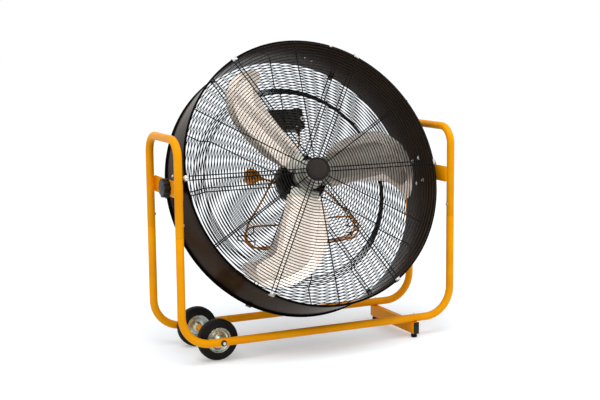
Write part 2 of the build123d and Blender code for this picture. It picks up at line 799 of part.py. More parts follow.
with BuildPart() as blade_bolts:
    for angle in blade_angles:
        for across in bolt_rows:
            with BuildSketch(bolt_place(angle, across, -blade_sheet - seat)):
                RegularPolygon(blade_bolt_diameter, 6)
            extrude(amount=blade_bolt_diameter / 2)
            with BuildSketch(bolt_place(angle, across, -blade_sheet - seat)):
                RegularPolygon(blade_bolt_diameter / 2, facets)
            extrude(amount=-(blade_sheet + arm_thickness + 4 * seat + blade_bolt_diameter / 2))
            with BuildSketch(bolt_place(angle, across, arm_thickness + 2 * seat)):
                RegularPolygon(blade_bolt_diameter, 6)
            extrude(amount=-blade_bolt_diameter / 2)
save(blade_bolts, "blade_bolts")

# ---------------------------------------------------------------- switch box
ring_back = recess_height + ring_rise + wire / 2
box_front = -ring_back - seat
box_centre = (box_x, box_rise + box_height / 2)
box_side = box_x + box_width / 2
box_middle = box_front - box_depth / 2
with BuildPart() as switch_box:
    with BuildSketch(face.offset(box_front)):
        with Locations(box_centre):
            Rectangle(box_width, box_height)
    extrude(amount=-box_depth)
    with BuildSketch(face.offset(box_front - box_wall)):
        with Locations(box_centre):
            Rectangle(box_width - 2 * box_wall, box_height - 2 * box_wall)
    extrude(amount=-box_depth, mode=Mode.SUBTRACT)
    side_plane = Plane(
        origin=on_face(box_side, box_centre[1], box_middle), x_dir=face.z_dir, z_dir=(1, 0, 0)
    )
    with BuildSketch(side_plane):
        Circle(stem_diameter / 2 + running)
    extrude(amount=-2 * box_wall, mode=Mode.SUBTRACT)
    below = Plane(
        origin=on_face(gland_x, box_rise, -cord_back), x_dir=(1, 0, 0), z_dir=-face.y_dir
    )
    with BuildSketch(below):
        RegularPolygon(cord_diameter, facets)
    extrude(amount=-2 * box_wall, mode=Mode.SUBTRACT)
save(switch_box, "switch_box")

with BuildPart() as switch_box_lid:
    with BuildSketch(face.offset(box_front - box_depth - seat)):
        with Locations(box_centre):
            Rectangle(box_width, box_height)
    extrude(amount=-box_lid)
save(switch_box_lid, "switch_box_lid")

with BuildPart() as rotary_switch:
    with BuildSketch(side_plane.offset(-box_wall - seat)):
        Rectangle(switch_diameter, switch_diameter)
        Circle(stem_diameter / 2 + running, mode=Mode.SUBTRACT)
    extrude(amount=-switch_diameter / 2)
save(rotary_switch, "rotary_switch")

with BuildPart() as switch_bezel:
    with BuildSketch(side_plane.offset(seat)):
        RegularPolygon(bezel_diameter / 2, 6)
        Circle(stem_diameter / 2 + running, mode=Mode.SUBTRACT)
    extrude(amount=bezel_depth)
save(switch_bezel, "switch_bezel")

with BuildPart() as switch_knob:
    with BuildSketch(side_plane.offset(bezel_depth + 3 * seat)):
        RegularPolygon(switch_knob_diameter / 2, 12)
    extrude(amount=switch_knob_length)
    with BuildSketch(side_plane.offset(bezel_depth + 3 * seat)):
        Circle(stem_diameter / 2)
    extrude(amount=-(bezel_depth + box_wall + switch_diameter / 4))
save(switch_knob, "switch_knob")

with BuildPart() as cord_gland:
    with BuildSketch(below.offset(seat)):
        RegularPolygon(gland_diameter / 2 + seat, 6)
    extrude(amount=gland_length / 3)
    with BuildSketch(below.offset(seat)):
        RegularPolygon(cord_diameter - bolt_clearance, facets)
    extrude(amount=-(box_wall + 3))
    with BuildSketch(below.offset(seat + gland_length / 3)):
        RegularPolygon(cord_diameter - bolt_clearance, facets)
    extrude(amount=gland_length * 2 / 3 - seat)
save(cord_gland, "cord_gland")

# ---------------------------------------------------------------- cord
plug_plane = Plane(
    origin=on_face(plug_radius * cos(radians(plug_angle)), plug_radius * sin(radians(plug_angle)), 0),
    x_dir=-radial_section(plug_angle).x_dir,
    z_dir=face.z_dir,
)
plug_end = plug_plane.from_local_coords(
    Vector(plug_length / 2 + plug_relief, 0, -cord_back)
)
plug_ahead = plug_plane.from_local_coords(
    Vector(plug_length / 2 + plug_relief + plug_straight, 0, -cord_back)
)
cord_points = [  # across, above the drum axis, behind the pivot
    (66, 190, 110),
    (48, 156, 106),
    (10, 114, 101),
    (-38, 72, 99),
    (-85, 35, 99),
    (-117, -6, 100),
    (-151, -52, 101),
    (-180, -88, 102),
    (-214, -126, 102),
    (-241, -164, 102),
    (-253, -200, 102),
    (-240, -237, 102),
    (-203, -258, 102),
    (-140, -264, 102),
    (-52, -266, 102),
    (42, -261, 102),
    (128, -257, 102),
    (198, -251, 102),
    (238, -245, 102),
    (264, -219, 102),
    (264, -181, 102),
    (238, -155, 102),
    (180, -151, 103),
    (95, -154, 106),
    (5, -160, 109),
    (-85, -165, 112),
    (-160, -160, 114),
    (-224, -161, 114),
    (-250, -187, 114),
    (-250, -225, 114),
    (-224, -251, 114),
    (-160, -250, 114),
    (-70, -254, 114),
    (20, -249, 114),
    (108, -247, 114),
    (184, -243, 114),
    (229, -232, 114),
    (256, -204, 114),
    (257, -169, 114),
    (236, -134, 114),
    (204, -99, 114),
    (169, -58, 114),
    (131, -18, 113),
    (92, 12, 113),
    (48, 31, 113),
    (0, 36, 113),
    (-45, 25, 114),
    (-82, 19, 113),
]
cord_route = [on_face(gland_x, box_rise - gland_length, -cord_back)]
cord_route += [on_face(x, rise, -back) for x, rise, back in cord_points]
cord_route += [plug_ahead, plug_end]
cord_radii = []
for before, corner, after in zip(cord_route, cord_route[1:], cord_route[2:]):
    shorter = min((corner - before).length, (after - corner).length)
    half_turn = radians((corner - before).get_angle(after - corner)) / 2
    cord_radii.append(0.45 * shorter / tan(half_turn))
print("cord arc radii", [round(radius) for radius in cord_radii])

with BuildPart() as cord:
    with BuildLine() as cord_line:
        FilletPolyline(*cord_route, radius=cord_radii)
    with BuildSketch(Plane(origin=cord_line.line @ 0, z_dir=cord_line.line % 0)):
        RegularPolygon(cord_diameter / 2, facets)
    sweep()
save(cord, "cord")
cord_path = cord_line.wire()
cord_length = cord_path.length
cord_section = facets / 2 * (cord_diameter / 2) ** 2 * sin(2 * pi / facets)
volume_ratio = cord.part.volume / cord_section / cord_length
print("cord length", round(cord_length), "volume ratio", round(volume_ratio, 4))
steps = int(cord_length / cord_diameter * 2)
walk = [cord_path.position_at(i / steps) for i in range(steps + 1)]
apart = 12  # steps; points nearer than this along the cord share one bend
least = min(
    (walk[i] - walk[j]).length for i in range(len(walk)) for j in range(i + apart, len(walk))
)
print("least gap of the winding to itself", round(least - cord_diameter, 2))

with BuildPart() as plug:
    with BuildSketch(plug_plane.offset(-ring_back - seat)):
        with BuildLine():
            Polyline(
                (-plug_length / 2, -plug_width / 3),
                (-plug_length / 6, -plug_width / 2),
                (plug_length / 4, -plug_width / 2.4),
                (plug_length / 2, -plug_neck / 2),
                (plug_length / 2, plug_neck / 2),
                (plug_length / 4, plug_width / 2.4),
                (-plug_length / 6, plug_width / 2),
                (-plug_length / 2, plug_width / 3),
                close=True,
            )
        make_face()
    extrude(amount=-2 * (cord_back - ring_back - seat))
    neck_plane = Plane(
        origin=plug_plane.from_local_coords(Vector(plug_length / 2, 0, -cord_back)),
        x_dir=face.z_dir,
        z_dir=plug_plane.x_dir,
    )
    with BuildSketch(neck_plane):
        RegularPolygon(plug_neck / 2 - 1, facets)
    extrude(amount=plug_relief)
    with BuildSketch(plug_plane.offset(-ring_back - seat)):
        with Locations((0, -pin_spacing / 2), (0, pin_spacing / 2)):
            RegularPolygon(pin_diameter / 2, facets)
    extrude(amount=-pin_length / 2, mode=Mode.SUBTRACT)
save(plug, "plug")

with BuildPart() as plug_pins:
    with BuildSketch(plug_plane.offset(pin_length - ring_back)):
        with Locations((0, -pin_spacing / 2), (0, pin_spacing / 2)):
            RegularPolygon(pin_diameter / 2 - weld_gap, facets)
    extrude(amount=-(pin_length + pin_length / 2 - seat))
save(plug_pins, "plug_pins")

foot_back = ring_back + seat + hook_wire / 2
with BuildPart() as cord_hooks:
    for side in (-1, 1):
        with BuildLine() as hook_line:
            Polyline(
                on_face(side * (hook_x - hook_toe / 5), hook_rise + hook_gap + hook_toe, -foot_back),
                on_face(side * hook_x, hook_rise + hook_gap, -foot_back),
                on_face(side * hook_x, hook_rise + hook_gap, -hook_back),
                on_face(side * (hook_x + hook_prong), hook_rise + hook_wire, -hook_back - hook_wire),
                on_face(side * (hook_x + hook_prong), hook_rise - hook_gap / 2, -hook_back - hook_wire),
                on_face(side * hook_x, hook_rise - hook_gap, -hook_back),
                on_face(side * hook_x, hook_rise - hook_gap, -foot_back),
                on_face(side * (hook_x + hook_toe / 4), hook_rise - hook_gap - hook_toe, -foot_back),
            )
        with BuildSketch(Plane(origin=hook_line.line @ 0, z_dir=hook_line.line % 0)):
            RegularPolygon(hook_wire / 2, facets)
        sweep(transition=Transition.RIGHT)
save(cord_hooks, "cord_hooks")
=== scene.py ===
from math import asin, cos, pi, radians, sin, sqrt, tan

import bmesh
import bpy
from mathutils import Matrix, Vector


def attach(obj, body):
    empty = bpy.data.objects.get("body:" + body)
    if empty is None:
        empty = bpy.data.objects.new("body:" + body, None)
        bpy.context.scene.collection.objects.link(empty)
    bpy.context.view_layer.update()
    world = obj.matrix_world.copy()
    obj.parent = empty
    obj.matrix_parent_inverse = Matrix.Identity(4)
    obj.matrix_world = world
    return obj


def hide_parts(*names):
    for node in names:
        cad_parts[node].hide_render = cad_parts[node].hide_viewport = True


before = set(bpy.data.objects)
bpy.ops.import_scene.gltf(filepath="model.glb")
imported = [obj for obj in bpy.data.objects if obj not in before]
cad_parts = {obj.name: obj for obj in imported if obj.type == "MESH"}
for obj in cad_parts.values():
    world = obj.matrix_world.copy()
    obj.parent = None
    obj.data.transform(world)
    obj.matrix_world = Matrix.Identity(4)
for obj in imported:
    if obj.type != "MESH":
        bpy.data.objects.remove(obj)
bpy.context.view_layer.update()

mm = 0.001
sides = (("Left", -1), ("Right", 1))
print("frame loaded:", len(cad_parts), "nodes")

# The drum leans back on its pivot. Its pieces are built flat, with x across, y up its
# face and z towards the outlet, and are then laid on the drum by this matrix.
drumSizes = {"tilt": 21.5, "pivotHeight": 680}
tilt = radians(drumSizes["tilt"])
drumFrame = Matrix((
    (1, 0, 0, 0),
    (0, sin(tilt), -cos(tilt), 0),
    (0, cos(tilt), sin(tilt), drumSizes["pivotHeight"] * mm),
    (0, 0, 0, 1),
))

def placeObject(name, data):
    # puts a new object into the scene
    item = bpy.data.objects.new(name, data)
    bpy.context.scene.collection.objects.link(item)
    return item


cameraView = {
    "place": (-2.091665, -4.430561, 1.301026),
    "yaw": 0.438,  # radians, from +Y towards +X
    "pitch": 0.144,  # radians, downwards
    "roll": -0.010,
    "lens": 72.18,
}


def placeCamera(view):
    yaw, pitch, roll = view["yaw"], view["pitch"], view["roll"]
    ahead = Vector((sin(yaw) * cos(pitch), cos(yaw) * cos(pitch), -sin(pitch)))
    level = Vector((cos(yaw), -sin(yaw), 0))
    upright = level.cross(ahead)
    across = level * cos(roll) + upright * sin(roll)
    up = upright * cos(roll) - level * sin(roll)
    lens = bpy.data.cameras.new("camera")
    lens.lens = view["lens"]
    lens.sensor_width = 36
    lens.clip_end = 100
    camera = placeObject("camera", lens)
    turn = Matrix((across, up, -ahead)).transposed().to_4x4()
    camera.matrix_world = Matrix.Translation(view["place"]) @ turn
    bpy.context.scene.camera = camera


placeCamera(cameraView)
print("camera placed")

# Each kind of surface has a cloudy tone and a fine grain, with sizes in mm. "sheen" is how
# far its roughness falls and rises with the pattern that it follows.
surfaceKinds = {
    # powder coat: even and glossy, with the slight ripple of orange peel, which is about
    # 1 mm across and drawn at 4 mm so that it shows
    "coated": {
        "cloudDetail": 3, "tones": (0.35, 0.7), "grain": 4, "grainDetail": 1, "depth": 0.2},
    # moulded plastic or rubber: a fine spark grain and a slightly uneven sheen
    "moulded": {
        "cloudDetail": 4, "tones": (0.3, 0.75), "grainDetail": 2, "peel": 0.35,
        "depth": 0.12, "sheen": (0.07, 0.07), "follows": "cloud"},
    # zinc or nickel on pressed steel: bright, with a cloudy passivated tint and fine scuffs
    "plated": {
        "metallic": 1, "cloudDetail": 3, "tones": (0.35, 0.65), "grain": 1.5,
        "grainDetail": 4, "peel": 0.12, "depth": 0.1, "sheen": (0.08, 0.1)},
    # rolled aluminium sheet: satin, with rolling lines along the blade and faint smears;
    # its pale oxide film scatters some of the light
    "rolled": {
        "cloudSize": 70, "cloudDetail": 3, "tones": (0.3, 0.7), "lines": (90, 2.5),
        "grain": 1000, "grainDetail": 4, "peel": 0.15, "depth": 0.06, "sheen": (0.06, 0.12)},
}


def toLinear(code):  # sRGB hex to linear
    values = [int(code[i:i + 2], 16) / 255 for i in (1, 3, 5)]
    return [v / 12.92 if v < 0.04045 else ((v + 0.055) / 1.055) ** 2.4 for v in values] + [1]


def addNode(owner, kind, settings, links):
    node = owner.node_tree.nodes.new("ShaderNode" + kind)
    for key, value in settings.items():
        if isinstance(key, int) or key in node.inputs:
            node.inputs[key].default_value = value
        else:
            setattr(node, key, value)
    for key, (source, output) in links.items():
        owner.node_tree.links.new(source.outputs[output], node.inputs[key])
    return node


def clearNodes(owner):
    owner.use_nodes = True
    owner.node_tree.nodes.clear()
    return owner


def shadeBetween(material, source, low, high, dark, light):
    # a ramp from one colour to another over part of a pattern's range
    ramp = addNode(material, "ValToRGB", {}, {"Fac": source})
    for stop, position, colour in zip(
            ramp.color_ramp.elements, (low, high), (dark, light)):
        stop.position = position
        stop.color = toLinear(colour)
    return ramp


def paintRimShade(material, place, tone, rims):
    # painted shade: the outside of the drum's coat is painted darker towards its two rolled rims,
    # standing in for the dark that they reflect
    start, end, shade = rims
    offset = addNode(material, "VectorMath", {
        "operation": "SUBTRACT", 1: drumFrame.translation}, {0: (place, "Object")})
    along = addNode(material, "VectorMath", {
        "operation": "DOT_PRODUCT", 1: drumFrame.col[2].xyz}, {0: (offset, "Vector")})
    away = addNode(material, "Math", {"operation": "ABSOLUTE"}, {0: (along, "Value")})
    share = addNode(material, "MapRange", {
        "From Min": start * mm, "From Max": end * mm}, {"Value": (away, "Value")})
    outward = addNode(material, "VectorMath", {"operation": "DOT_PRODUCT"}, {
        0: (offset, "Vector"), 1: (place, "Normal")})
    outside = addNode(
        material, "Math", {"operation": "GREATER_THAN", 1: 0}, {0: (outward, "Value")})
    both = addNode(material, "Math", {"operation": "MULTIPLY"}, {
        0: (share, "Result"), 1: (outside, "Value")})
    ramp = shadeBetween(material, (both, "Value"), 0, 1, "#FFFFFF", shade)
    return addNode(material, "MixRGB", {"blend_type": "MULTIPLY", "Fac": 1}, {
        "Color1": (tone, "Color"), "Color2": (ramp, "Color")})


def makeMaterial(name, kind, dark, light, roughness, **more):
    finish = {**surfaceKinds[kind], **more}
    material = clearNodes(bpy.data.materials.new(name))
    place = addNode(material, "TexCoord", {}, {})
    cloud = addNode(material, "TexNoise", {
        "Scale": 1 / (finish["cloudSize"] * mm), "Detail": finish["cloudDetail"],
    }, {"Vector": (place, "Object")})
    tone = shadeBetween(material, (cloud, "Fac"), *finish["tones"], dark, light)
    # painted shade: a darker band painted towards the drum's rims
    if "rims" in finish:
        tone = paintRimShade(material, place, tone, finish["rims"])
    source = (place, "Object")
    if "lines" in finish:  # the length and width of each line, so the grain itself is 1 m
        length, width = finish["lines"]
        stretch = addNode(material, "Mapping", {
            "Scale": (1 / (length * mm), 1 / (width * mm), 1)}, {"Vector": (place, "UV")})
        source = (stretch, "Vector")
    grain = addNode(material, "TexNoise", {
        "Scale": 1 / (finish["grain"] * mm), "Detail": finish["grainDetail"],
    }, {"Vector": source})
    bump = addNode(material, "Bump", {
        "Strength": finish["peel"], "Distance": finish["depth"] * mm,
    }, {"Height": (grain, "Fac")})
    links = {"Base Color": (tone, "Color"), "Normal": (bump, "Normal")}
    if "sheen" in finish:
        fall, rise = finish["sheen"]
        pattern = cloud if finish.get("follows") == "cloud" else grain
        sheen = addNode(material, "MapRange", {
            "To Min": roughness - fall, "To Max": roughness + rise,
        }, {"Value": (pattern, "Fac")})
        links["Roughness"] = (sheen, "Result")
    shader = addNode(material, "BsdfPrincipled", {
        "Roughness": roughness, "Metallic": finish.get("metallic", 0),
        "IOR": finish.get("ior", 1.5), "Specular IOR Level": finish.get("specular", 0.5),
        "Specular Tint": toLinear(finish.get("tint", "#FFFFFF")),
    }, links)
    addNode(material, "OutputMaterial", {}, {"Surface": (shader, "BSDF")})
    return material


finishes = {  # the material of each slot
    "orange_paint": makeMaterial(
        "amberPowderCoat", "coated", "#F39A02", "#FDA804", 0.3,
        specular=0.06, cloudSize=120, peel=0.15),
    "black_gloss_paint": makeMaterial(
        "blackGlossCoat", "coated", "#2B1D10", "#3A2817", 0.2,
        # the warm tint of its reflections is painted reflection colour, standing in for warm
        # surroundings
        specular=0.012, tint="#FFD9B0", cloudSize=200, peel=0.03,
        rims=(66, 108, "#5C5C5C")),  # where the painted shade band starts and ends, and its colour
    "black_wire_coat": makeMaterial(
        "blackWireCoat", "coated", "#100C09", "#1A1511", 0.38,
        specular=0.13, cloudSize=60, peel=0.1),
    "motor_paint": makeMaterial(
        "motorBlackEnamel", "coated", "#020202", "#060606", 0.3,
        specular=0.04, cloudSize=40, peel=0.2),
    "zinc": makeMaterial("brightZincPlate", "plated", "#C3C8C6", "#E4E4DE", 0.3, cloudSize=9),
    "wheel_zinc": makeMaterial(
        "passivatedZincPlate", "plated", "#AABFC0", "#E4E6D4", 0.26, cloudSize=22),
    "axle_steel": makeMaterial(
        "oiledTurnedSteel", "plated", "#2E2C2A", "#4C4A47", 0.35, cloudSize=12),
    "nickel": makeMaterial("nickelPlate", "plated", "#A9AAA6", "#CFCEC8", 0.2, cloudSize=6),
    "blade_aluminium": makeMaterial(
        "millAluminiumSheet", "rolled", "#E6D7CA", "#F0E5D9", 0.28, metallic=0.86),
    "tyre_rubber": makeMaterial(
        "blackMouldedRubber", "moulded", "#0B0908", "#161310", 0.55,
        ior=1.52, specular=0.14, cloudSize=18, grain=1.6),
    "black_plastic": makeMaterial(
        "blackMouldedPlastic", "moulded", "#0E0D0C", "#181513", 0.45,
        ior=1.49, specular=0.3, cloudSize=25, grain=1.2),
    "box_plastic": makeMaterial(
        "greyMouldedPlastic", "moulded", "#2D2925", "#3E3832", 0.5,
        specular=0.3, cloudSize=30, grain=1.4),
    "cord_rubber": makeMaterial(
        "orangeCordSheath", "moulded", "#FF9C20", "#FFBA48", 0.5,
        specular=0.25, cloudSize=30, grain=1.5),
    "plug_rubber": makeMaterial(
        "orangeMouldedPlug", "moulded", "#F59008", "#FFA71C", 0.45,
        specular=0.25, cloudSize=25, grain=1.3),
}
finishes["rubber"] = finishes["tyre_rubber"]
hubSheet = makeMaterial(
    "stampedAluminiumPlate", "rolled", "#C9CABE", "#E8E5D8", 0.3, metallic=0.75)
capPlastic = makeMaterial(
    "satinCapPlastic", "moulded", "#241C18", "#2F2520", 0.42,
    ior=1.49, specular=0.2, cloudSize=40, grain=1.2)
print("materials made")


def soften(shape, width, segments=2, angle=32, edges=None):
    # rounds every edge sharper than the angle
    chosen = edges or [
        e for e in shape.edges if e.is_manifold and e.calc_face_angle() > radians(angle)]
    bmesh.ops.bevel(
        shape, geom=chosen, offset=width * mm, offset_type="OFFSET", segments=segments,
        profile=0.5, affect="EDGES", clamp_overlap=True, material=-1)


def faceOut(shape):
    bmesh.ops.recalc_face_normals(shape, faces=shape.faces)


def closeUp(shape):
    bmesh.ops.remove_doubles(shape, verts=shape.verts, dist=0.002 * mm)
    faceOut(shape)


def vertsOf(geometry):
    return [g for g in geometry if isinstance(g, bmesh.types.BMVert)]


def takeMesh(name, shape):
    mesh = bpy.data.meshes.new(name)
    shape.to_mesh(mesh)
    shape.free()
    return mesh


def finishPiece(name, data, body, slot, nodes=None, material=None):
    # a piece rides on a body and stands for CAD nodes, here for the one of its own name
    # unless it is told others: frontGrille stands for front_grille
    if nodes is None:
        nodes = ["".join("_" + c.lower() if c.isupper() else c for c in name)]
    piece = placeObject(name, data)
    data.materials.append(material or finishes[slot])
    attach(piece, body)
    if nodes:
        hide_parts(*nodes)
    return piece


def addPiece(name, shape, body, slot, nodes=None, sharp=38, place=None, material=None):
    # makes a finished shape a piece; those of drum and fan are built flat on the drum
    if place is None and body in ("drum", "fan"):
        place = drumFrame
    if place is not None:
        bmesh.ops.transform(shape, matrix=place, verts=shape.verts)
    for face in shape.faces:
        face.smooth = True
    for edge in shape.edges:
        edge.smooth = not edge.is_manifold or edge.calc_face_angle() < radians(sharp)
    return finishPiece(name, takeMesh(name, shape), body, slot, nodes, material)


def newChain(shape, points):
    # a line of vertices joined by edges
    verts = [shape.verts.new(Vector(point) * mm) for point in points]
    edges = [shape.edges.new(pair) for pair in zip(verts, verts[1:])]
    return verts, edges


def turnProfile(shape, points, steps):
    # spins a (radius, height) outline once round z; one that starts on z stays open
    verts, edges = newChain(shape, [(radius, 0, height) for radius, height in points])
    if points[0][0] > 0:
        edges.append(shape.edges.new((verts[-1], verts[0])))
    bmesh.ops.spin(
        shape, geom=verts + edges, cent=(0, 0, 0), axis=(0, 0, 1), angle=2 * pi,
        steps=steps, use_merge=True)


def turned(points, steps, softness=None):
    # a new shape spun from an outline; softness holds what soften takes
    shape = bmesh.new()
    turnProfile(shape, points, steps)
    closeUp(shape)
    if softness:
        soften(shape, *softness)
    return shape


def addDisc(shape, radius, low, high, edges, place=None, top=None):
    # a cylinder or cone standing on its own z
    stand = Matrix.Translation((0, 0, (low + high) / 2 * mm))
    made = bmesh.ops.create_cone(
        shape, cap_ends=True, segments=edges, radius1=radius * mm,
        radius2=(radius if top is None else top) * mm, depth=(high - low) * mm,
        matrix=(place or Matrix.Identity(4)) @ stand)
    return made["verts"]


def addBlock(shape, low, high, place=None):
    low, high = Vector(low) * mm, Vector(high) * mm
    size = Matrix.Diagonal((*(high - low), 1))
    bmesh.ops.create_cube(
        shape, size=1,
        matrix=(place or Matrix.Identity(4)) @ Matrix.Translation((low + high) / 2) @ size)


def facing(point, ahead):
    # a place in metres whose z looks along a direction
    ahead = Vector(ahead).normalized()
    side = Vector((0, 0, 1))
    if abs(side.dot(ahead)) > 0.95:
        side = Vector((0, 1, 0))
    across = side.cross(ahead).normalized()
    turn = Matrix((across, ahead.cross(across), ahead)).transposed().to_4x4()
    return Matrix.Translation(point) @ turn


def turnAbout(angle, axis="Z"):
    return Matrix.Rotation(angle, 4, axis)


def shift(x, y, z):
    return Matrix.Translation(Vector((x, y, z)) * mm)


def addBolt(shape, place, width, height, washer=0):
    # a hexagon head with a chamfered top, on its washer
    shoulder, top = height * 0.75, width / 2 * 0.86
    if washer:
        addDisc(shape, washer / 2, 0, 1.2, 24, place)
    addDisc(shape, width / 2, 0.2, shoulder, 6, place)
    addDisc(shape, width / 2, shoulder, height, 6, place, top)


def addPanHead(shape, place, width, height):
    # a low domed screw head of a width and height, with a cross recess
    addDisc(shape, width / 2, 0, height * 0.5, 20, place)
    addDisc(shape, width / 2, height * 0.5, height, 20, place, width / 2 * 0.62)
    long, narrow = width * 0.28, width * 0.05
    for turn in (0, pi / 2):
        addBlock(
            shape, (-long, -narrow, height), (long, narrow, height + 0.15),
            place @ turnAbout(turn))


def joinShapes(shape, other):
    # adds another shape's faces to this one
    mesh = takeMesh("joined", other)
    shape.from_mesh(mesh)
    bpy.data.meshes.remove(mesh)


def newCurve(name, **settings):
    line = bpy.data.curves.new(name, "CURVE")
    for key, value in settings.items():
        setattr(line, key, value)
    return line


def addPath(line, places):
    # an open run through places in metres
    spline = line.splines.new("NURBS")
    spline.points.add(len(places) - 1)
    for point, spot in zip(spline.points, places):
        point.co = (*spot, 1)
    spline.order_u = 3
    spline.use_endpoint_u = True


def addKnots(line, points, corners=()):
    # a smooth run through points in mm, with corners at some of them
    spline = line.splines.new("BEZIER")
    spline.bezier_points.add(len(points) - 1)
    for knot, point in zip(spline.bezier_points, points):
        knot.co = [value * mm for value in point]
        style = "VECTOR" if point in corners else "AUTO"
        knot.handle_left_type = knot.handle_right_type = style
    return spline


def takeShape(line):
    # the shape of a curve, which isn't kept itself
    holder = bpy.data.objects.new(line.name, line)
    mesh = bpy.data.meshes.new_from_object(holder)
    shape = bmesh.new()
    shape.from_mesh(mesh)
    bpy.data.objects.remove(holder)
    bpy.data.curves.remove(line)
    bpy.data.meshes.remove(mesh)
    return shape


cordSizes = {
    "diameter": 8,
    "length": 2.72,
    "exit": (66, 214, 110),  # across, above the drum axis, behind the pivot
    "points": [
        (66, 190, 110), (48, 156, 106), (10, 114, 101), (-38, 72, 99), (-85, 35, 99),
        (-117, -6, 100), (-151, -52, 101), (-180, -88, 102), (-214, -126, 102),
        (-241, -164, 102), (-253, -200, 102), (-240, -237, 102), (-203, -258, 102),
        (-140, -264, 102), (-52, -266, 102), (42, -261, 102), (128, -257, 102),
        (198, -251, 102), (238, -245, 102), (264, -219, 102), (264, -181, 102),
        (238, -155, 102), (180, -151, 103), (95, -154, 106), (5, -160, 109),
        (-85, -165, 112), (-160, -160, 114), (-224, -161, 114), (-250, -187, 114),
        (-250, -225, 114), (-224, -251, 114), (-160, -250, 114), (-70, -254, 114),
        (20, -249, 114), (108, -247, 114), (184, -243, 114), (229, -232, 114),
        (256, -204, 114), (257, -169, 114), (236, -134, 114), (204, -99, 114),
        (169, -58, 114), (131, -18, 113), (92, 12, 113), (48, 31, 113), (0, 36, 113),
        (-45, 25, 114), (-82, 19, 113),
    ],
}
plugSizes = {
    "radius": 184.9, "angle": 165, "back": 110, "length": 62, "width": 64, "neck": 24,
    "relief": 25, "near": 91.75, "ribs": (-14, -7, 0, 7), "reliefRings": 5,
}
plugPlace = (
    drumFrame @ turnAbout(radians(plugSizes["angle"]))
    @ shift(plugSizes["radius"], 0, 0) @ turnAbout(pi))


def onDrum(across, rise, behind):
    return drumFrame @ (Vector((across, rise, -behind)) * mm)


def layCord(sizes):
    reach = plugSizes["length"] / 2 + plugSizes["relief"]
    route = [onDrum(*spot) for spot in [sizes["exit"], *sizes["points"]]]
    route += [
        plugPlace @ Vector(((reach + more) * mm, 0, -plugSizes["back"] * mm))
        for more in (20, 0)]
    line = newCurve(
        "cordLine", dimensions="3D", use_fill_caps=True, resolution_u=8,
        bevel_depth=sizes["diameter"] / 2 * mm, bevel_resolution=4)
    addPath(line, route)
    return finishPiece("cordFlex", line, "drum", "cord_rubber", ["cord"]), route[0]


def makePlug(sizes):
    shape = bmesh.new()
    long, wide, neck, back = sizes["length"], sizes["width"], sizes["neck"], sizes["back"]
    half = [(-long / 2, wide / 3), (-long / 6, wide / 2), (long / 4, wide / 2.4),
            (long / 2, neck / 2)]
    outline = [(x, -y) for x, y in half] + half[::-1]
    verts = newChain(shape, [(x, y, -sizes["near"]) for x, y in outline])[0]
    base = shape.faces.new(verts)
    raised = bmesh.ops.extrude_face_region(shape, geom=[base])
    bmesh.ops.translate(
        shape, vec=(0, 0, -2 * (back - sizes["near"]) * mm), verts=vertsOf(raised["geom"]))
    faceOut(shape)
    soften(shape, 5, 4, 20)
    for along in sizes["ribs"]:  # grip ribs on both sides
        for side in (-1, 1):
            middle = side * wide / 2.6
            addBlock(
                shape, (along - 1.5, middle - 5, -back - 12),
                (along + 1.5, middle + 5, -back + 12))
    # the strain relief tapers in rings to the cord
    relief = shift(long / 2, 0, -back) @ turnAbout(pi / 2, "Y")
    for ring in range(sizes["reliefRings"]):
        share = ring / sizes["reliefRings"]
        low = sizes["relief"] * share
        wideEnd = neck / 2 - 1 - (neck / 2 - 6) * share
        addDisc(shape, wideEnd, low - 0.5, low + 3.2, 24, relief, wideEnd - 0.7)
        addDisc(shape, wideEnd - 2, low + 3, low + 5.2, 24, relief)
    return addPiece("plugBody", shape, "drum", "plug_rubber", ["plug"], place=plugPlace)


cordFlex, cordExit = layCord(cordSizes)
print("cord laid")
plugBody = makePlug(plugSizes)
print("plug made")

tubeSizes = {
    "radius": 16, "wall": 2, "sides": 40, "bendSteps": 18, "endDepth": 30, "lip": 1.3,
    "half": 601, "depth": 169, "base": 82.5, "seam": 506, "handle": 877,
    "baseBend": 118, "handleBend": 72, "gap": 0.1,
}


def rollTube(shape, corners, bend, sizes):
    # a round tube laid through square corners, with its ends turned in to show the wall
    corners = [Vector(corner) * mm for corner in corners]
    bend = bend * mm
    radius = sizes["radius"] * mm
    along = (corners[1] - corners[0]).normalized()
    ring = bmesh.ops.create_circle(
        shape, segments=sizes["sides"], radius=radius, matrix=facing(corners[0], along))["verts"]
    edges = [e for e in shape.edges if e.verts[0] in ring and e.verts[1] in ring]
    firstEdges = list(edges)
    place = corners[0]

    def goOn(edges, move):
        made = bmesh.ops.extrude_edge_only(shape, edges=edges)["geom"]
        verts = vertsOf(made)
        bmesh.ops.translate(shape, vec=move, verts=verts)
        group = set(verts)
        return verts, [
            g for g in made
            if isinstance(g, bmesh.types.BMEdge) and g.verts[0] in group and g.verts[1] in group]

    for before, corner, after in zip(corners, corners[1:], corners[2:]):
        along = (corner - before).normalized()
        ahead = (after - corner).normalized()
        turnStart = corner - along * bend
        verts, edges = goOn(edges, turnStart - place)
        spun = bmesh.ops.spin(
            shape, geom=verts + edges, cent=turnStart + ahead * bend, axis=along.cross(ahead),
            angle=pi / 2, steps=sizes["bendSteps"])
        edges = [g for g in spun["geom_last"] if isinstance(g, bmesh.types.BMEdge)]
        place = corner + ahead * bend
    verts, edges = goOn(edges, corners[-1] - place)
    ends = (
        (firstEdges, corners[0], (corners[1] - corners[0]).normalized()),
        (edges, corners[-1], (corners[-2] - corners[-1]).normalized()))
    inner = (radius - sizes["wall"] * mm) / radius
    for endEdges, spot, inward in ends:
        made, rim = goOn(endEdges, Vector((0, 0, 0)))
        bmesh.ops.scale(
            shape, vec=(inner, inner, inner), verts=made, space=Matrix.Translation(-spot))
        made, rim = goOn(rim, inward * sizes["endDepth"] * mm)
        bmesh.ops.contextual_create(shape, geom=rim)
    faceOut(shape)


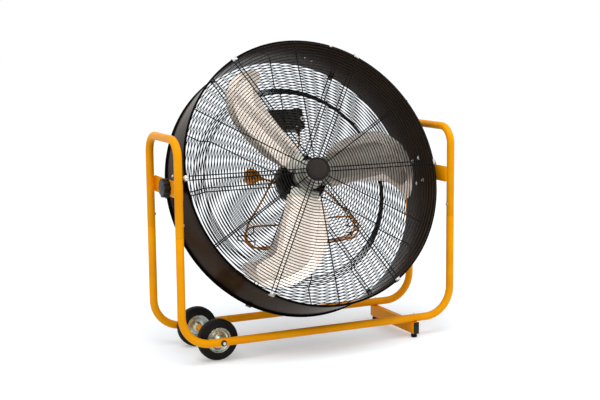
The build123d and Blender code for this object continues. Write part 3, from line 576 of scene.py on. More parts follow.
def makeTubes(sizes):
    half, depth, base, seam = sizes["half"], sizes["depth"], sizes["base"], sizes["seam"]
    low, high = seam + sizes["gap"], sizes["handle"]
    tubes = [
        ("baseTube" + name, sizes["baseBend"],
         [(-half, y, seam), (-half, y, base), (half, y, base), (half, y, seam)])
        for name, y in (("Front", -depth), ("Rear", depth))]
    tubes += [
        ("handle" + name, sizes["handleBend"],
         [(x, -depth, low), (x, -depth, high), (x, depth, high), (x, depth, low)])
        for name, x in (("Left", -half), ("Right", half))]
    for name, bend, corners in tubes:
        shape = bmesh.new()
        rollTube(shape, corners, bend, sizes)
        soften(shape, sizes["lip"], 2, 60)
        addPiece(name, shape, "frame", "orange_paint")


makeTubes(tubeSizes)
print("tubes rolled")

frameSmall = {
    "screwHeight": 554, "screwHead": (13, 4), "plateInside": 580, "plateThickness": 4.95,
    "plateHeight": 65, "plateBack": 7, "weld": 3, "footX": 427.5, "footWidth": 25,
    "footTop": 66.45, "footBase": 16.45, "footHalf": 187, "footScrew": (11, 3),
    "capFlange": 3, "capGap": 0.05, "footRadius": 13,
}


def makeFrameSmall(sizes, tube):
    depths = (-tube["depth"], tube["depth"])
    shape = bmesh.new()
    for side in (-1, 1):
        for y in depths:
            spot = Vector((side * (tube["half"] - tube["radius"]), y, sizes["screwHeight"])) * mm
            addPanHead(shape, facing(spot, (-side, 0, 0)), *sizes["screwHead"])
    closeUp(shape)
    addPiece("frameJointScrews", shape, "frame", "zinc")
    shape = bmesh.new()
    for y in depths:  # screws down through the tubes into the bar
        spot = Vector((sizes["footX"], y, tube["base"] + tube["radius"] - 0.4)) * mm
        addPanHead(shape, facing(spot, (0, 0, 1)), *sizes["footScrew"])
    closeUp(shape)
    addPiece("footBarScrews", shape, "frame", "zinc", [])

    middle, half = drumSizes["pivotHeight"], sizes["plateHeight"] / 2
    end = tube["depth"] - sizes["plateBack"]
    for name, side in sides:
        shape = bmesh.new()
        inside = side * sizes["plateInside"]
        outside = side * (sizes["plateInside"] + sizes["plateThickness"])
        addBlock(
            shape, (min(inside, outside), -end, middle - half),
            (max(inside, outside), end, middle + half))
        soften(shape, 1, 2, 40)
        for y in (-end - 0.8, end + 0.8):  # the weld between plate and tube
            bead = addDisc(shape, sizes["weld"], middle - half + 2, middle + half - 2, 12)
            bmesh.ops.translate(
                shape, verts=bead, vec=Vector((outside + side * 0.4, y, 0)) * mm)
        addPiece("pivotPlate" + name, shape, "frame", "orange_paint")

    x, wide, barEnd = sizes["footX"], sizes["footWidth"] / 2, sizes["footHalf"]
    low, high = sizes["footBase"], sizes["footTop"]
    shape = bmesh.new()
    addBlock(shape, (x - wide, -barEnd, low), (x + wide, barEnd, high))
    soften(shape, 2.5, 3, 40)
    addPiece("footBar", shape, "frame", "orange_paint")
    shape = bmesh.new()
    near, far = barEnd + sizes["capGap"], barEnd + sizes["capFlange"]
    for start, stop in ((-far, -near), (near, far)):
        addBlock(shape, (x - wide, start, low), (x + wide, stop, high))
    soften(shape, 1.2, 3, 40)
    addPiece("footBarCaps", shape, "frame", "black_plastic")
    shape = bmesh.new()
    radius, top = sizes["footRadius"], low - 0.05
    for y in depths:
        foot = turned([
            (0, 0), (10.5, 0), (radius, 2.5), (radius, top - 6), (11, top - 4.5),
            (11, top - 2.5), (radius, top - 1.2), (radius, top), (0, top)], 48)
        bmesh.ops.translate(foot, vec=Vector((x, y, 0)) * mm, verts=foot.verts)
        joinShapes(shape, foot)
    addPiece("rubberFeet", shape, "frame", "rubber")


makeFrameSmall(frameSmall, tubeSizes)
print("frame fittings made")

wheelSizes = {
    "x": -436, "height": 82.5, "y": 117, "rim": 50, "tyreWidth": 44, "boss": 17,
    "axle": 6, "sleeve": 16, "sleeveHalf": 91.7, "rivet": 3.4, "rivetRadius": 28,
}


def makeWheels(sizes):
    half, outer, rim = sizes["tyreWidth"] / 2, sizes["height"], sizes["rim"] + 0.05
    boss, bore = sizes["boss"], sizes["axle"] + 0.05
    # both outlines run from one side to the middle and are mirrored
    tyreHalf = [
        (rim, half), (56, half), (58, half - 2.5), (64, half - 2.2), (66, half - 3.8),
        (72, half - 4.6), (outer - 4, half - 6), (outer - 1, half - 9), (outer, half - 13),
        (outer, 8), (outer - 1.6, 7.4), (outer - 1.6, 5.6), (outer, 5)]
    hubHalf = [
        (bore, 25), (12, 25), (13, 24), (13, 20), (boss, 19), (boss, 10), (22, 9),
        (34, 10.5), (39, 15.5), (45, 16), (47, 20.5), (49, 21.8), (50, 21.5)]
    tyreLine, hubLine = (
        [(radius, -height) for radius, height in line] + line[::-1]
        for line in (tyreHalf, hubHalf))
    for name, side in (("Front", -1), ("Rear", 1)):
        body = "wheel_" + name.lower()
        spot = Vector((sizes["x"], side * sizes["y"], sizes["height"])) * mm
        place = facing(spot, (0, 1, 0))
        addPiece(
            "tyre" + name, turned(tyreLine, 96, (0.8, 2, 30)), body, "tyre_rubber", place=place)
        shape = turned(hubLine, 72, (0.6, 2, 25))
        for face in (-1, 1):  # four rivets join the two pressed discs
            for quarter in range(4):
                addDisc(
                    shape, sizes["rivet"], 0, 2, 16,
                    turnAbout(quarter * pi / 2) @ shift(sizes["rivetRadius"], 0, face * 9.4)
                    @ turnAbout(0 if face > 0 else pi, "X"), 2.2)
        addPiece("wheelHub" + name, shape, body, "wheel_zinc", place=place)
    centre = Vector((sizes["x"], 0, sizes["height"])) * mm
    long, wide = sizes["sleeveHalf"], sizes["sleeve"]
    shape = turned([(6.1, -long), (wide, -long), (wide, long), (6.1, long)], 48, (0.8,))
    addPiece("axleTube", shape, "frame", "orange_paint", place=facing(centre, (0, 1, 0)))
    shape = bmesh.new()
    for end in (-1, 1):
        nut = turned(
            [(6.06, 0.1), (12, 0.1), (12, 3), (10.5, 7), (8, 9.6), (6.06, 10)], 48, (0.5,))
        spot = centre + Vector((0, end * (tubeSizes["depth"] + tubeSizes["radius"]), 0)) * mm
        bmesh.ops.transform(nut, matrix=facing(spot, (0, end, 0)), verts=nut.verts)
        joinShapes(shape, nut)
    addPiece("axleNuts", shape, "frame", "axle_steel")


makeWheels(wheelSizes)
print("wheels made")

shellSizes = {
    "rim": 555, "wall": 548, "inside": 546.5, "half": 128, "bead": 14, "steps": 180,
    "rimTurn": 72.5, "rimScrew": 550.5, "rimScrewHead": (11, 3.5), "seamRivet": (8, 2.4),
    "seam": [(77.7, -27), (75.9, -36), (73.7, -44)],  # turn in degrees, place along the drum
}


def makeShell(sizes):
    half, bead = sizes["half"], sizes["bead"]
    rim, wall, inside = sizes["rim"], sizes["wall"], sizes["inside"]
    outline = [(inside, -half + 2)]
    for end in (-1, 1):  # each rim is rolled outwards round a wire
        middle = end * (half - bead / 2)
        for step in range(9):
            turn = pi / 2 - pi * step / 8
            outline.append((wall + (rim - wall) * cos(turn), middle - bead / 2 * sin(turn)))
    outline.append((inside, half - 2))
    shape = turned(outline, sizes["steps"])
    addPiece("drumShell", shape, "drum", "black_gloss_paint", sharp=50)
    shape = bmesh.new()
    turn = radians(sizes["rimTurn"])
    spot = Vector((cos(turn) * sizes["rimScrew"], sin(turn) * sizes["rimScrew"], half))
    addPanHead(shape, facing(spot * mm, (0, 0, 1)), *sizes["rimScrewHead"])
    for degrees, along in sizes["seam"]:  # three rivets of the seam, seen inside the drum
        turn = radians(degrees)
        outward = Vector((cos(turn), sin(turn), 0))
        spot = outward * inside + Vector((0, 0, along))
        addPanHead(shape, facing(spot * mm, -outward), *sizes["seamRivet"])
    closeUp(shape)
    addPiece("drumScrews", shape, "drum", "zinc", [])


makeShell(shellSizes)
print("drum rolled")

grilleSizes = {
    "wire": 4.7, "ringWire": 3.6, "pitch": 12.07, "outerRing": 541, "innerRing": 46,
    "sides": 6, "rod": 130.6, "ringRise": 5.05, "pair": 16, "reach": 551,
    "recess": 46.5, "recessRadius": 401, "recessSlope": 38, "stepRings": 5, "rearHub": 34,
    "stepWire": 4.6,
}


def addRing(shape, radius, height, wire, edges):
    # a ring of round wire, with more steps where it is larger
    ring = bmesh.ops.create_circle(
        shape, segments=edges, radius=wire / 2 * mm,
        matrix=shift(radius, 0, height) @ turnAbout(pi / 2, "X"))["verts"]
    group = set(ring)
    edges = list({e for v in ring for e in v.link_edges if set(e.verts) <= group})
    bmesh.ops.spin(
        shape, geom=ring + edges, cent=(0, 0, 0), axis=(0, 0, 1), angle=2 * pi,
        steps=max(24, int(radius / 4.5)), use_merge=True)


def addRod(shape, points, wire):
    # a straight-running wire through a few points, closed at its ends
    points = [Vector(point) * mm for point in points]
    for number, (start, end) in enumerate(zip(points, points[1:])):
        along = end - start
        bmesh.ops.create_cone(
            shape, cap_ends=True, segments=8, radius1=wire / 2 * mm,
            radius2=wire / 2 * mm, depth=along.length, matrix=facing((start + end) / 2, along))
        if number:
            bmesh.ops.create_icosphere(
                shape, subdivisions=1, radius=wire / 2 * mm, matrix=Matrix.Translation(start))


def weldGrille(name, rings, spoke, sizes):
    shape = bmesh.new()
    for radius, height, wire in rings:
        addRing(shape, radius, height, wire, sizes["sides"])
    for angle in range(0, 360, 60):  # pairs of spokes, with single ones between
        for degrees, aside in (
                (angle, -sizes["pair"] / 2), (angle, sizes["pair"] / 2), (angle + 30, 0)):
            turn = turnAbout(radians(degrees))
            addRod(
                shape, [turn @ Vector((radius, aside, height)) for radius, height in spoke],
                sizes["wire"])
    faceOut(shape)
    addPiece(name, shape, "drum", "black_wire_coat", sharp=70)


def makeGrilles(sizes):
    rod, rise, wire = sizes["rod"], sizes["ringRise"], sizes["ringWire"]
    outer, flat, slope = sizes["outerRing"], sizes["recessRadius"], sizes["recessSlope"]

    def ringsDownTo(least):
        return [
            outer - number * sizes["pitch"]
            for number in range(int((outer - least) / sizes["pitch"]) + 1)]

    weldGrille(
        "frontGrille",
        [(radius, rod + rise, wire) for radius in ringsDownTo(sizes["innerRing"])],
        [(sizes["innerRing"], rod), (sizes["reach"], rod)], sizes)

    innerRod = rod - sizes["recess"]
    rings = []
    for radius in ringsDownTo(sizes["rearHub"]):
        if radius > flat + slope:
            rings.append((radius, -rod - rise, wire))
        elif radius < flat:
            rings.append((radius, -innerRod - rise, wire))
    fall = Vector((-slope, sizes["recess"]))
    lift = Vector((-fall.y, fall.x)).normalized() * rise
    for step in range(sizes["stepRings"]):  # the rings go on over the step
        share = (step + 0.5) / sizes["stepRings"]
        rings.append((
            flat + slope + fall.x * share + lift.x, -rod + fall.y * share + lift.y,
            sizes["stepWire"]))
    weldGrille(
        "rearGrille", rings,
        [(sizes["rearHub"], -innerRod), (flat, -innerRod), (flat + slope, -rod),
         (sizes["reach"], -rod)], sizes)


makeGrilles(grilleSizes)
print("grilles welded")

clipSizes = {
    "inner": 543, "outer": 555.1, "sheet": 2, "leg": 20, "width": 22, "height": 133.2,
    "screw": 549, "screwHead": (9, 2.6), "capBack": 138.25, "capRadius": 42,
}


def makeCapAndClips(sizes):
    back, face = sizes["capBack"], sizes["capRadius"]
    shape = turned(
        [(0, back), (face, back), (face, 149), (39.8, 151), (0, 151.2)], 96, (0.4, 2, 20))
    addPiece("frontCap", shape, "drum", "black_plastic", material=capPlastic)
    near = face + 0.1  # the rim is a rolled ring with a groove inside it
    shape = turned([
        (near, back), (48.5, back), (48.5, 149.2), (47.6, 151.2), (46, 152.2), (44.4, 151.6),
        (43.6, 150.2), (43.4, 148.2), (near, 148.2)], 96, (0.3, 2, 25))
    addPiece("frontCapRim", shape, "drum", "black_plastic", [])
    half, high, sheet = sizes["width"] / 2, sizes["height"], sizes["sheet"]
    inner, outer = sizes["inner"], sizes["outer"]
    for name, flip, slot in (("Front", 0, "zinc"), ("Rear", pi, "black_wire_coat")):
        shape = bmesh.new()
        for number in range(6):
            place = turnAbout(flip, "X") @ turnAbout(number * pi / 3)
            addBlock(
                shape, (inner, -half, high), (outer + sheet, half, high + sheet), place)
            addBlock(
                shape, (outer, -half, high - sizes["leg"]), (outer + sheet, half, high), place)
            spot = place @ shift(sizes["screw"], 0, high + sheet)
            addPanHead(shape, spot, *sizes["screwHead"])
        soften(shape, 0.5, 2, 40)
        addPiece("grilleClips" + name, shape, "drum", slot)


makeCapAndClips(clipSizes)
print("cap and clips made")

motorSizes = {
    "radius": 100, "rear": -77.4, "front": 12.6, "bore": 9.6, "louvres": 24,
    "louvreFrom": 52, "louvreTo": 78, "boltIn": 10, "boltTurn": 0.6, "boltHead": (10, 4),
}


def makeMotor(sizes):
    radius, rear, front, bore = sizes["radius"], sizes["rear"], sizes["front"], sizes["bore"]
    shape = turned([
        (0, rear), (radius - 12, rear), (radius - 8, rear + 1.5), (radius - 7, rear + 10),
        (radius, rear + 12), (radius, front - 15), (radius - 3, front - 12.2),
        (bore, front - 12.2)], 96, (1, 2, 25))
    addPiece("motorBody", shape, "drum", "motor_paint")
    shape = turned([
        (bore, front - 12), (radius, front - 12), (radius, front - 8), (radius - 5, front - 3),
        (radius - 14, front - 1.5), (radius - 40, front - 3), (44, front - 4), (40, front),
        (24, front), (22, front - 2), (bore, front - 2)], 96, (0.8, 2, 25))
    for number in range(4):
        turn = turnAbout(number * pi / 2 + sizes["boltTurn"])
        spot = turn @ shift(radius - sizes["boltIn"], 0, front - 2.6)
        addBolt(shape, spot, *sizes["boltHead"])
    for number in range(sizes["louvres"]):  # cooling slots, as raised louvres
        addBlock(
            shape, (sizes["louvreFrom"], -2, front - 3.8), (sizes["louvreTo"], 2, front - 1.6),
            turnAbout(number * 2 * pi / sizes["louvres"]))
    addPiece("motorEndCover", shape, "drum", "motor_paint")


makeMotor(motorSizes)
print("motor made")

bladeSizes = {
    "camberRadius": 1138, "lead": 18.3, "blade": 46, "rimSlope": 11, "sheet": 2, "first": 9,
    "boltRadius": 130, "boltSpread": 42, "bead": 1.3,
    "boltFront": (13, 5.5, 18), "boltRear": (13, 5, 18),  # head's width and height, washer
    "strip": 12, "armWidth": 110, "armLength": 96, "armMiddle": 108, "armSheet": 4,
    "leadEdge": [
        (98, 72), (166, 100), (227, 110), (290, 112), (340, 106), (388, 88), (430, 58),
        (466, 18), (486, -30), (494, -76), (486, -120), (468, -160), (450, -184)],
    "trailEdge": [
        (450, -184), (432, -190), (404, -144), (381, -118), (351, -101), (313, -88),
        (245, -76), (187, -69), (98, -66)],
    # the blade is pressed like a shallow pan: this line is the edge of its floor
    "pressing": [
        (98, 62), (139, 66), (192, 70), (249, 73), (290, 73), (339, 66), (370, 54), (397, 36),
        (418, 15), (435, -9), (451, -33), (461, -66), (464, -91), (460, -113), (446, -127),
        (422, -127), (403, -114), (386, -98), (368, -78), (343, -61), (288, -51), (217, -49),
        (98, -47)],
}


def sheetHeight(across, sizes):
    # the blade's back face, an arc across its width
    lead = radians(sizes["lead"])
    radius = sizes["camberRadius"]
    centre = sizes["blade"] + radius * cos(lead)
    return centre - sqrt(radius ** 2 - (across + radius * sin(lead)) ** 2)


def bendSheet(shape, sizes, below=0):
    # lays a sheet on the blade's curve
    for vert in shape.verts:
        vert.co.z += (sheetHeight(vert.co.y / mm, sizes) - below) * mm


def pastPressing(point, line):
    # how far a point lies outside the pressed floor, 0 inside it
    inside = False
    nearest = 1e9
    for start, end in zip(line, line[1:] + line[:1]):
        if (start[1] > point[1]) != (end[1] > point[1]):
            cross = start[0] + (point[1] - start[1]) / (end[1] - start[1]) * (end[0] - start[0])
            inside = inside != (point[0] < cross)
    for start, end in zip(line, line[1:]):
        start, end = Vector(start), Vector(end)
        run = end - start
        share = max(0, min(1, (Vector(point) - start).dot(run) / run.length_squared))
        nearest = min(nearest, (Vector(point) - start - run * share).length)
    return 0 if inside else nearest


def raiseRim(shape, sizes):
    # cuts the sheet along the pressing line and turns the rim outside it up
    line = sizes["pressing"]
    for start, end in zip(line, line[1:]):
        run = Vector(end) - Vector(start)
        middle = (Vector(start) + Vector(end)) / 2
        near = run.length / 2 + 45
        faces = [
            f for f in shape.faces if any(
                (v.co.xy / mm - middle).length < near for v in f.verts)]
        around = {e for f in faces for e in f.edges} | {v for f in faces for v in f.verts}
        bmesh.ops.bisect_plane(
            shape, geom=[*around, *faces], dist=1e-7,
            plane_co=(start[0] * mm, start[1] * mm, 0), plane_no=(-run.y, run.x, 0))
    for vert in shape.verts:
        past = pastPressing((vert.co.x / mm, vert.co.y / mm), line)
        vert.co.z += past * tan(radians(sizes["rimSlope"])) * mm


def cutBlade(sizes):
    # a flat sheet inside smooth edges that meet at corners, in strips that can take a curve
    runs = [sizes["leadEdge"], sizes["trailEdge"]]
    runs.append([runs[1][-1], runs[0][0]])
    line = newCurve("bladeOutline", dimensions="2D", fill_mode="BOTH", resolution_u=10)
    points = [point for run in runs for point in run[:-1]]
    corners = [(*run[0], 0) for run in runs]
    addKnots(line, [(x, y, 0) for x, y in points], corners).use_cyclic_u = True
    shape = takeShape(line)
    bmesh.ops.remove_doubles(shape, verts=shape.verts, dist=0.01 * mm)
    bmesh.ops.dissolve_limit(
        shape, angle_limit=radians(1), verts=shape.verts, edges=shape.edges)
    for place in range(-186, 112, sizes["strip"]):
        bmesh.ops.bisect_plane(
            shape, geom=shape.verts[:] + shape.edges[:] + shape.faces[:], dist=1e-7,
            plane_co=(0, place * mm, 0), plane_no=(0, 1, 0))
    return shape


def thicken(shape, thickness):
    # gives a sheet its thickness, from its underside up
    for face in shape.faces:
        face.normal_update()
        if face.normal.z < 0:
            face.normal_flip()
    bmesh.ops.solidify(shape, geom=shape.faces[:], thickness=thickness * mm)
    faceOut(shape)


def markLength(piece, places):
    # stores length and width along the sheet, for the rolling lines
    layer = piece.data.uv_layers.new(name="sheetLines")
    for loop in piece.data.loops:
        layer.data[loop.index].uv = places[loop.vertex_index]


def makeBlades(sizes, turns):
    # each blade has a fine bead along its pressing line
    beadPoints = [
        (x, y, sheetHeight(y, sizes) + sizes["sheet"] + 0.1) for x, y in sizes["pressing"]]
    for number, turn in enumerate(turns, 1):
        shape = cutBlade(sizes)
        raiseRim(shape, sizes)
        bendSheet(shape, sizes)
        thicken(shape, -sizes["sheet"])
        soften(shape, 0.5, 1, 60)
        line = newCurve(
            "beadLine", dimensions="3D", use_fill_caps=True, resolution_u=5,
            bevel_depth=sizes["bead"] * mm, bevel_resolution=1)
        addKnots(line, beadPoints)
        joinShapes(shape, takeShape(line))
        places = [(v.co.x, v.co.y) for v in shape.verts]
        piece = addPiece(
            f"fanBlade{number}", shape, "fan", "blade_aluminium", [f"blade_{number}"],
            sharp=8, place=drumFrame @ turn)
        markLength(piece, places)


def makeHub(sizes, turns):
    shape = turned([
        (9.55, 29), (22, 29), (22, 59), (58, 59), (58, 29), (62, 29), (62, 63), (9.55, 63)],
        72, (1.2, 3, 30))
    size = Matrix.Diagonal((sizes["armLength"] * mm, sizes["armWidth"] * mm, 1, 1))
    for turn in turns:
        arm = bmesh.new()
        bmesh.ops.create_grid(
            arm, x_segments=6, y_segments=12, size=0.5,
            matrix=shift(sizes["armMiddle"], 0, 0) @ size)
        corners = [v for v in arm.verts if len(v.link_edges) == 2 and v.co.x > 0.15]
        bmesh.ops.bevel(
            arm, geom=corners, offset=16 * mm, offset_type="OFFSET", segments=5, profile=0.5,
            affect="VERTICES", clamp_overlap=False, material=-1)
        bendSheet(arm, sizes, 0.15)
        thicken(arm, sizes["armSheet"])
        bmesh.ops.rotate(arm, cent=(0, 0, 0), matrix=turn.to_3x3(), verts=arm.verts)
        joinShapes(shape, arm)
    hub = addPiece("fanHub", shape, "fan", "blade_aluminium", material=hubSheet)
    markLength(hub, [(v.co.x, v.co.z) for v in hub.data.vertices])


def boltBlades(sizes, turns):
    shape = bmesh.new()
    radius = sizes["camberRadius"]
    for turn in turns:
        for across in (-sizes["boltSpread"], 0, sizes["boltSpread"]):
            slope = asin((across + radius * sin(radians(sizes["lead"]))) / radius)
            ahead = Vector((0, -sin(slope), cos(slope)))
            spot = Vector((sizes["boltRadius"], across, sheetHeight(across, sizes)))
            front = facing((spot + ahead * 2.1) * mm, ahead)
            rear = facing((spot - ahead * 4.3) * mm, -ahead)
            addBolt(shape, turn @ front, *sizes["boltFront"])
            addBolt(shape, turn @ rear, *sizes["boltRear"])
    closeUp(shape)
    addPiece("bladeBolts", shape, "fan", "zinc")


bladeTurns = [turnAbout(radians(bladeSizes["first"] + 120 * number)) for number in range(3)]
makeBlades(bladeSizes, bladeTurns)
makeHub(bladeSizes, bladeTurns)
boltBlades(bladeSizes, bladeTurns)
print("fan made")

clampSizes = {
    "foot": 548.1, "sheet": 3, "width": 84, "height": 132, "boss": 23, "bossStart": 550.5,
    "bossEnd": 576.8, "chamfer": 1.5, "stud": 6, "studEnd": 603.9, "knobFace": 585.1,
    "knobRadius": 37.5, "knobLength": 27, "flute": (0.89, 0.86, 0.89), "fluteEvery": 8,
    "boltRise": 50, "boltSpread": 52, "screwHead": (14, 4.5), "nut": (13, 5, 16),
}


def makeBrackets(sizes):
    shape = bmesh.new()
    reach = asin(sizes["height"] / 2 / sizes["foot"])
    shoulder = sizes["bossEnd"] - sizes["chamfer"]
    for side in (-1, 1):
        foot = bmesh.new()
        bmesh.ops.create_grid(
            foot, x_segments=2, y_segments=24, size=0.5,
            matrix=Matrix.Diagonal((sizes["width"] * mm, 2 * reach, 1, 1)))
        for vert in foot.verts:  # rolls the flat foot onto the drum's wall
            along, turn = vert.co.x, vert.co.y
            vert.co = (
                side * sizes["foot"] * mm * cos(turn), sizes["foot"] * mm * sin(turn), along)
        faceOut(foot)
        outward = foot.faces[:][0].normal.x * side
        bmesh.ops.solidify(
            foot, geom=foot.faces[:], thickness=-outward / abs(outward) * sizes["sheet"] * mm)
        faceOut(foot)
        soften(foot, 0.6, 2, 50)
        joinShapes(shape, foot)
        stand = turnAbout(side * pi / 2, "Y")
        addDisc(shape, sizes["boss"], sizes["bossStart"], shoulder, 48, stand)
        addDisc(
            shape, sizes["boss"], shoulder, sizes["bossEnd"], 48, stand,
            sizes["boss"] - sizes["chamfer"])
        addDisc(shape, sizes["stud"], sizes["bossEnd"] - 1, sizes["studEnd"], 24, stand)
    addPiece("pivotBrackets", shape, "drum", "black_gloss_paint")
    shape = bmesh.new()
    for side in (-1, 1):
        for turn in (-1, 1):
            slope = turn * asin(sizes["boltRise"] / sizes["foot"])
            outward = Vector((side * cos(slope), sin(slope), 0))
            for along in (-sizes["boltSpread"] / 2, sizes["boltSpread"] / 2):
                aside = Vector((0, 0, along))
                spot = outward * (sizes["foot"] + sizes["sheet"] + 0.1) + aside
                addPanHead(shape, facing(spot * mm, outward), *sizes["screwHead"])
                spot = outward * (shellSizes["inside"] - 0.1) + aside
                addBolt(shape, facing(spot * mm, -outward), *sizes["nut"])
    closeUp(shape)
    addPiece("bracketBolts", shape, "drum", "zinc")


def makeKnobs(sizes):
    long = sizes["knobLength"]
    for name, side in sides:
        shape = bmesh.new()
        rim = bmesh.ops.create_circle(shape, segments=80, radius=sizes["knobRadius"] * mm)["verts"]
        for number, vert in enumerate(rim):  # the flutes are pressed into the round rim
            place = number % sizes["fluteEvery"]
            if place < len(sizes["flute"]):
                vert.co *= sizes["flute"][place]
        face = bmesh.ops.contextual_create(shape, geom=rim)["faces"]
        made = bmesh.ops.extrude_face_region(shape, geom=face)["geom"]
        bmesh.ops.translate(shape, vec=(0, 0, long * mm), verts=vertsOf(made))
        faceOut(shape)
        top = [f for f in shape.faces if f.normal.z > 0.9 and f.calc_center_median().z > 0.02]
        soften(shape, 3, 3, edges=[e for f in top for e in f.edges])
        soften(shape, 0.8, 2, 45)
        addDisc(shape, 12, long - 1, long + 1.2, 40, None, 10)
        spot = Vector((side * sizes["knobFace"], 0, drumSizes["pivotHeight"])) * mm
        addPiece(
            "tiltKnob" + name, shape, "knob_" + name.lower(), "black_plastic",
            place=facing(spot, (side, 0, 0)))


makeBrackets(clampSizes)
makeKnobs(clampSizes)
print("tilt clamp made")

boxSizes = {
    "left": -85, "right": 93, "low": 240, "high": 328, "front": -91.75, "back": -143.75,
    "lid": -147.85, "corner": 5, "lidScrewIn": 9, "glandX": 66, "glandBack": 110,
    "screwX": 55, "screwRise": 248, "clampX": 84.8, "clampRise": 281, "switchRise": 284,
    "switchBack": 117.75, "knob": 10, "knobLow": 4.15, "knobLength": 11,
    "lidScrew": (7, 1.3), "frontScrew": (9, 2.5),
}


def makeSwitchBox(sizes):
    left, right, low, high = sizes["left"], sizes["right"], sizes["low"], sizes["high"]
    for name, behind, ahead, edge in (
            ("switchBox", sizes["back"], sizes["front"], 1.2),
            ("switchBoxLid", sizes["lid"], sizes["back"] - 0.1, 1)):
        shape = bmesh.new()
        addBlock(shape, (left, low, behind), (right, high, ahead))
        soften(shape, sizes["corner"], 3, edges=[
            e for e in shape.edges
            if abs((e.verts[0].co - e.verts[1].co).normalized().z) > 0.9])
        soften(shape, edge, 2, 40)
        addPiece(name, shape, "drum", "box_plastic")
    shape = bmesh.new()
    inset = sizes["lidScrewIn"]
    for x in (left + inset, right - inset):
        for rise in (low + inset, high - inset):
            spot = Vector((x, rise, sizes["lid"] + 1.2)) * mm
            addPanHead(shape, facing(spot, (0, 0, -1)), *sizes["lidScrew"])
    spot = Vector((sizes["screwX"], sizes["screwRise"], sizes["front"])) * mm
    addPanHead(shape, facing(spot, (0, 0, 1)), *sizes["frontScrew"])
    closeUp(shape)
    addPiece("lidScrews", shape, "drum", "zinc", [])
    # a bolt between two rings clamps the box to the grille with a plated washer
    place = drumFrame @ shift(sizes["clampX"], sizes["clampRise"], sizes["front"])
    shape = turned([(5, 4.5), (10.6, 4.5), (10.6, 6), (10, 6.6), (5.6, 6.6), (5, 6)], 48)
    addPiece("boxClampWasher", shape, "drum", "zinc", [], place=place)
    shape = turned([
        (0, 0), (3.9, 0), (3.9, 5.2), (4.9, 5.2), (4.9, 6), (4.3, 6.4), (0, 6.4)], 32)
    addPiece("boxClampBolt", shape, "drum", "black_plastic", [], place=place)
    shape = turned([
        (4.2, 0.1), (9, 0.1), (9, 7), (8, 9), (7.6, 9), (7.6, 12), (6.9, 12.6), (6.9, 15),
        (6.3, 15.6), (6.3, 18), (5.7, 18.6), (5.7, 21), (5.2, 21.6), (4.9, 26), (4.2, 26)],
        40, (0.3, 1, 40))
    spot = Vector((sizes["glandX"], low, -sizes["glandBack"])) * mm
    place = drumFrame @ facing(spot, (0, -1, 0))
    addPiece("cordGland", shape, "drum", "black_plastic", place=place)


def makeSwitchKnob(sizes):
    # a plated knob between two dark rings, with a raised pointer bar on its end
    low, high = sizes["knobLow"], sizes["knobLow"] + sizes["knobLength"]
    radius = sizes["knob"]
    spot = Vector((sizes["right"], sizes["switchRise"], -sizes["switchBack"])) * mm
    place = drumFrame @ facing(spot, (1, 0, 0))
    narrow, start, end = radius - 1.2, low + 2.6, high - 2.4
    shape = turned([(0, start), (narrow, start), (narrow, end), (0, end)], 48)
    addPiece("switchKnob", shape, "switch", "nickel", place=place)
    shape = bmesh.new()
    for near, far in ((low, low + 2.5), (high - 2.3, high - 0.5)):
        turnProfile(shape, [(0, near), (radius, near), (radius, far), (0, far)], 48)
    closeUp(shape)
    soften(shape, 0.4, 2, 40)
    addBlock(shape, (-1.3, -radius + 3, high - 0.8), (1.3, radius - 1.6, high))
    addPiece("switchKnobRings", shape, "switch", "black_plastic", [], place=place)


hookSizes = {"wire": 5, "foot": 94.25, "back": 123}


def bendHooks(sizes):
    foot, back = sizes["foot"], sizes["back"]
    route = [
        (213, -163, foot), (216, -180, foot), (217, -187, foot + 1), (217, -189.5, foot + 6),
        (217, -190, back - 6), (218, -190, back), (224, -190.4, back + 1),
        (271, -191.6, back + 5), (277, -193, back + 5), (279, -201, back + 5),
        (277, -209, back + 5), (271, -211.5, back + 4.6), (224, -219, back + 1),
        (218, -220, back - 1), (217, -220.5, back - 6), (217, -221.7, foot + 6),
        (217, -224, foot + 1), (218, -228, foot), (222, -243, foot)]
    line = newCurve(
        "hookLine", dimensions="3D", use_fill_caps=True, resolution_u=6,
        bevel_depth=sizes["wire"] / 2 * mm, bevel_resolution=3)
    for side in (-1, 1):
        addPath(line, [onDrum(side * x, rise, behind) for x, rise, behind in route])
    finishPiece("cordHooks", line, "drum", "black_wire_coat")


makeSwitchBox(boxSizes)
makeSwitchKnob(boxSizes)
bendHooks(hookSizes)
print("switch box and hooks made")

nodeFinishes = {  # the CAD nodes that stay, with the finish of each
    "axle_rod": "zinc", "axle_spacers": "zinc", "motor_shaft": "axle_steel",
    "motor_mount": "motor_paint", "motor_bolts": "zinc", "friction_washers": "black_plastic",
    "rotary_switch": "black_plastic", "switch_bezel": "nickel", "plug_pins": "nickel",
}
for nodeName, slot in nodeFinishes.items():
    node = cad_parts[nodeName]
    node.data.materials.clear()
    node.data.materials.append(finishes[slot])

studio = {
    "floorSize": 80, "floorLift": 0.27, "skyLight": 0.54, "keyStrength": 1.32, "keySpread": 38,
    "keyFrom": (-0.22, -0.3, 1),
    "areas": (  # name, place, width and power of each soft lamp
        ("fillLamp", (-3.6, -3.4, 1.2), 2.5, 6),
        ("sideLamp", (2.9, -0.95, 3.0), 2.2, 27),
        ("frontLamp", (-0.9, -2.9, 3.4), 2.6, 20),
    ),
    "aimHeight": 0.65,
    "flagPlace": (0.86, -1.8, 0.66), "flagSize": (1.75, 1.05),
}


def addStage(name, place, size, material):
    # a flat sheet of the studio, which isn't part of the fan
    shape = bmesh.new()
    bmesh.ops.create_grid(
        shape, x_segments=1, y_segments=1, size=0.5,
        matrix=place @ Matrix.Diagonal((*size, 1, 1)))
    sheet = placeObject(name, takeMesh(name, shape))
    sheet.data.materials.append(material)
    return sheet


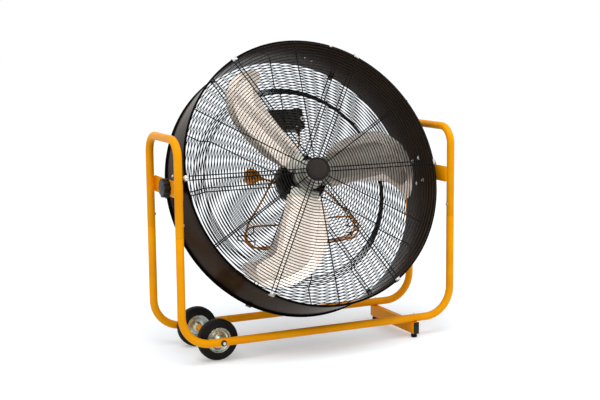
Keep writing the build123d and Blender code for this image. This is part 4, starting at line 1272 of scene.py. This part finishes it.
def whatIsSeen(owner):
    # 1 for what the camera sees, straight or in a mirror or glass, and 0 for lighting
    ray = addNode(owner, "LightPath", {}, {})
    seen = addNode(owner, "Math", {"operation": "MAXIMUM"}, {
        0: (ray, "Is Camera Ray"), 1: (ray, "Is Glossy Ray")})
    either = addNode(owner, "Math", {"operation": "MAXIMUM"}, {
        0: (seen, "Value"), 1: (ray, "Is Transmission Ray")})
    return either, "Value"


def makeBackdrop(sizes):
    floor = clearNodes(bpy.data.materials.new("whiteStudioFloor"))
    matt = addNode(floor, "BsdfDiffuse", {"Color": toLinear("#E9EFF4")}, {})
    glow = addNode(
        floor, "Emission", {"Color": (1, 1, 1, 1), "Strength": sizes["floorLift"]}, {})
    both = addNode(floor, "AddShader", {}, {0: (matt, "BSDF"), 1: (glow, "Emission")})
    mixed = addNode(floor, "MixShader", {}, {
        0: whatIsSeen(floor), 1: (matt, "BSDF"), 2: (both, "Shader")})
    addNode(floor, "OutputMaterial", {}, {"Surface": (mixed, "Shader")})
    addStage("studioFloor", Matrix.Identity(4), (sizes["floorSize"], sizes["floorSize"]), floor)

    world = bpy.data.worlds.new("studioSky")
    bpy.context.scene.world = clearNodes(world)
    level = addNode(world, "MapRange", {
        "To Min": sizes["skyLight"], "To Max": 1.0}, {"Value": whatIsSeen(world)})
    sky = addNode(
        world, "Background", {"Color": (1, 1, 1, 1)}, {"Strength": (level, "Result")})
    addNode(world, "OutputWorld", {}, {"Surface": (sky, "Background")})


def lightStudio(sizes):
    key = bpy.data.lights.new("keyLamp", "SUN")
    key.energy = sizes["keyStrength"]
    key.angle = radians(sizes["keySpread"])
    lamps = [(key, Vector(sizes["keyFrom"]), Vector(sizes["keyFrom"]))]
    for name, spot, wide, power in sizes["areas"]:
        lamp = bpy.data.lights.new(name, "AREA")
        lamp.size, lamp.energy = wide, power
        away = Vector(spot) - Vector((0, 0, sizes["aimHeight"]))
        lamps.append((lamp, Vector(spot), away))
    for lamp, spot, away in lamps:
        placeObject(lamp.name, lamp).matrix_world = facing(spot, away)

    # a dark flag at the right of the camera, only for what the metal mirrors
    cloth = clearNodes(bpy.data.materials.new("darkFlagCloth"))
    shader = addNode(cloth, "BsdfPrincipled", {
        "Base Color": toLinear("#22211B"), "Roughness": 0.9}, {})
    addNode(cloth, "OutputMaterial", {}, {"Surface": (shader, "BSDF")})
    spot = Vector(sizes["flagPlace"])
    flag = addStage("darkFlag", facing(spot, -spot.xy.to_3d()), sizes["flagSize"], cloth)
    for ray in ("camera", "diffuse", "transmission", "shadow", "volume_scatter"):
        setattr(flag, "visible_" + ray, False)
    bpy.context.scene.view_settings.view_transform = "Standard"


makeBackdrop(studio)
lightStudio(studio)
print("studio lit")
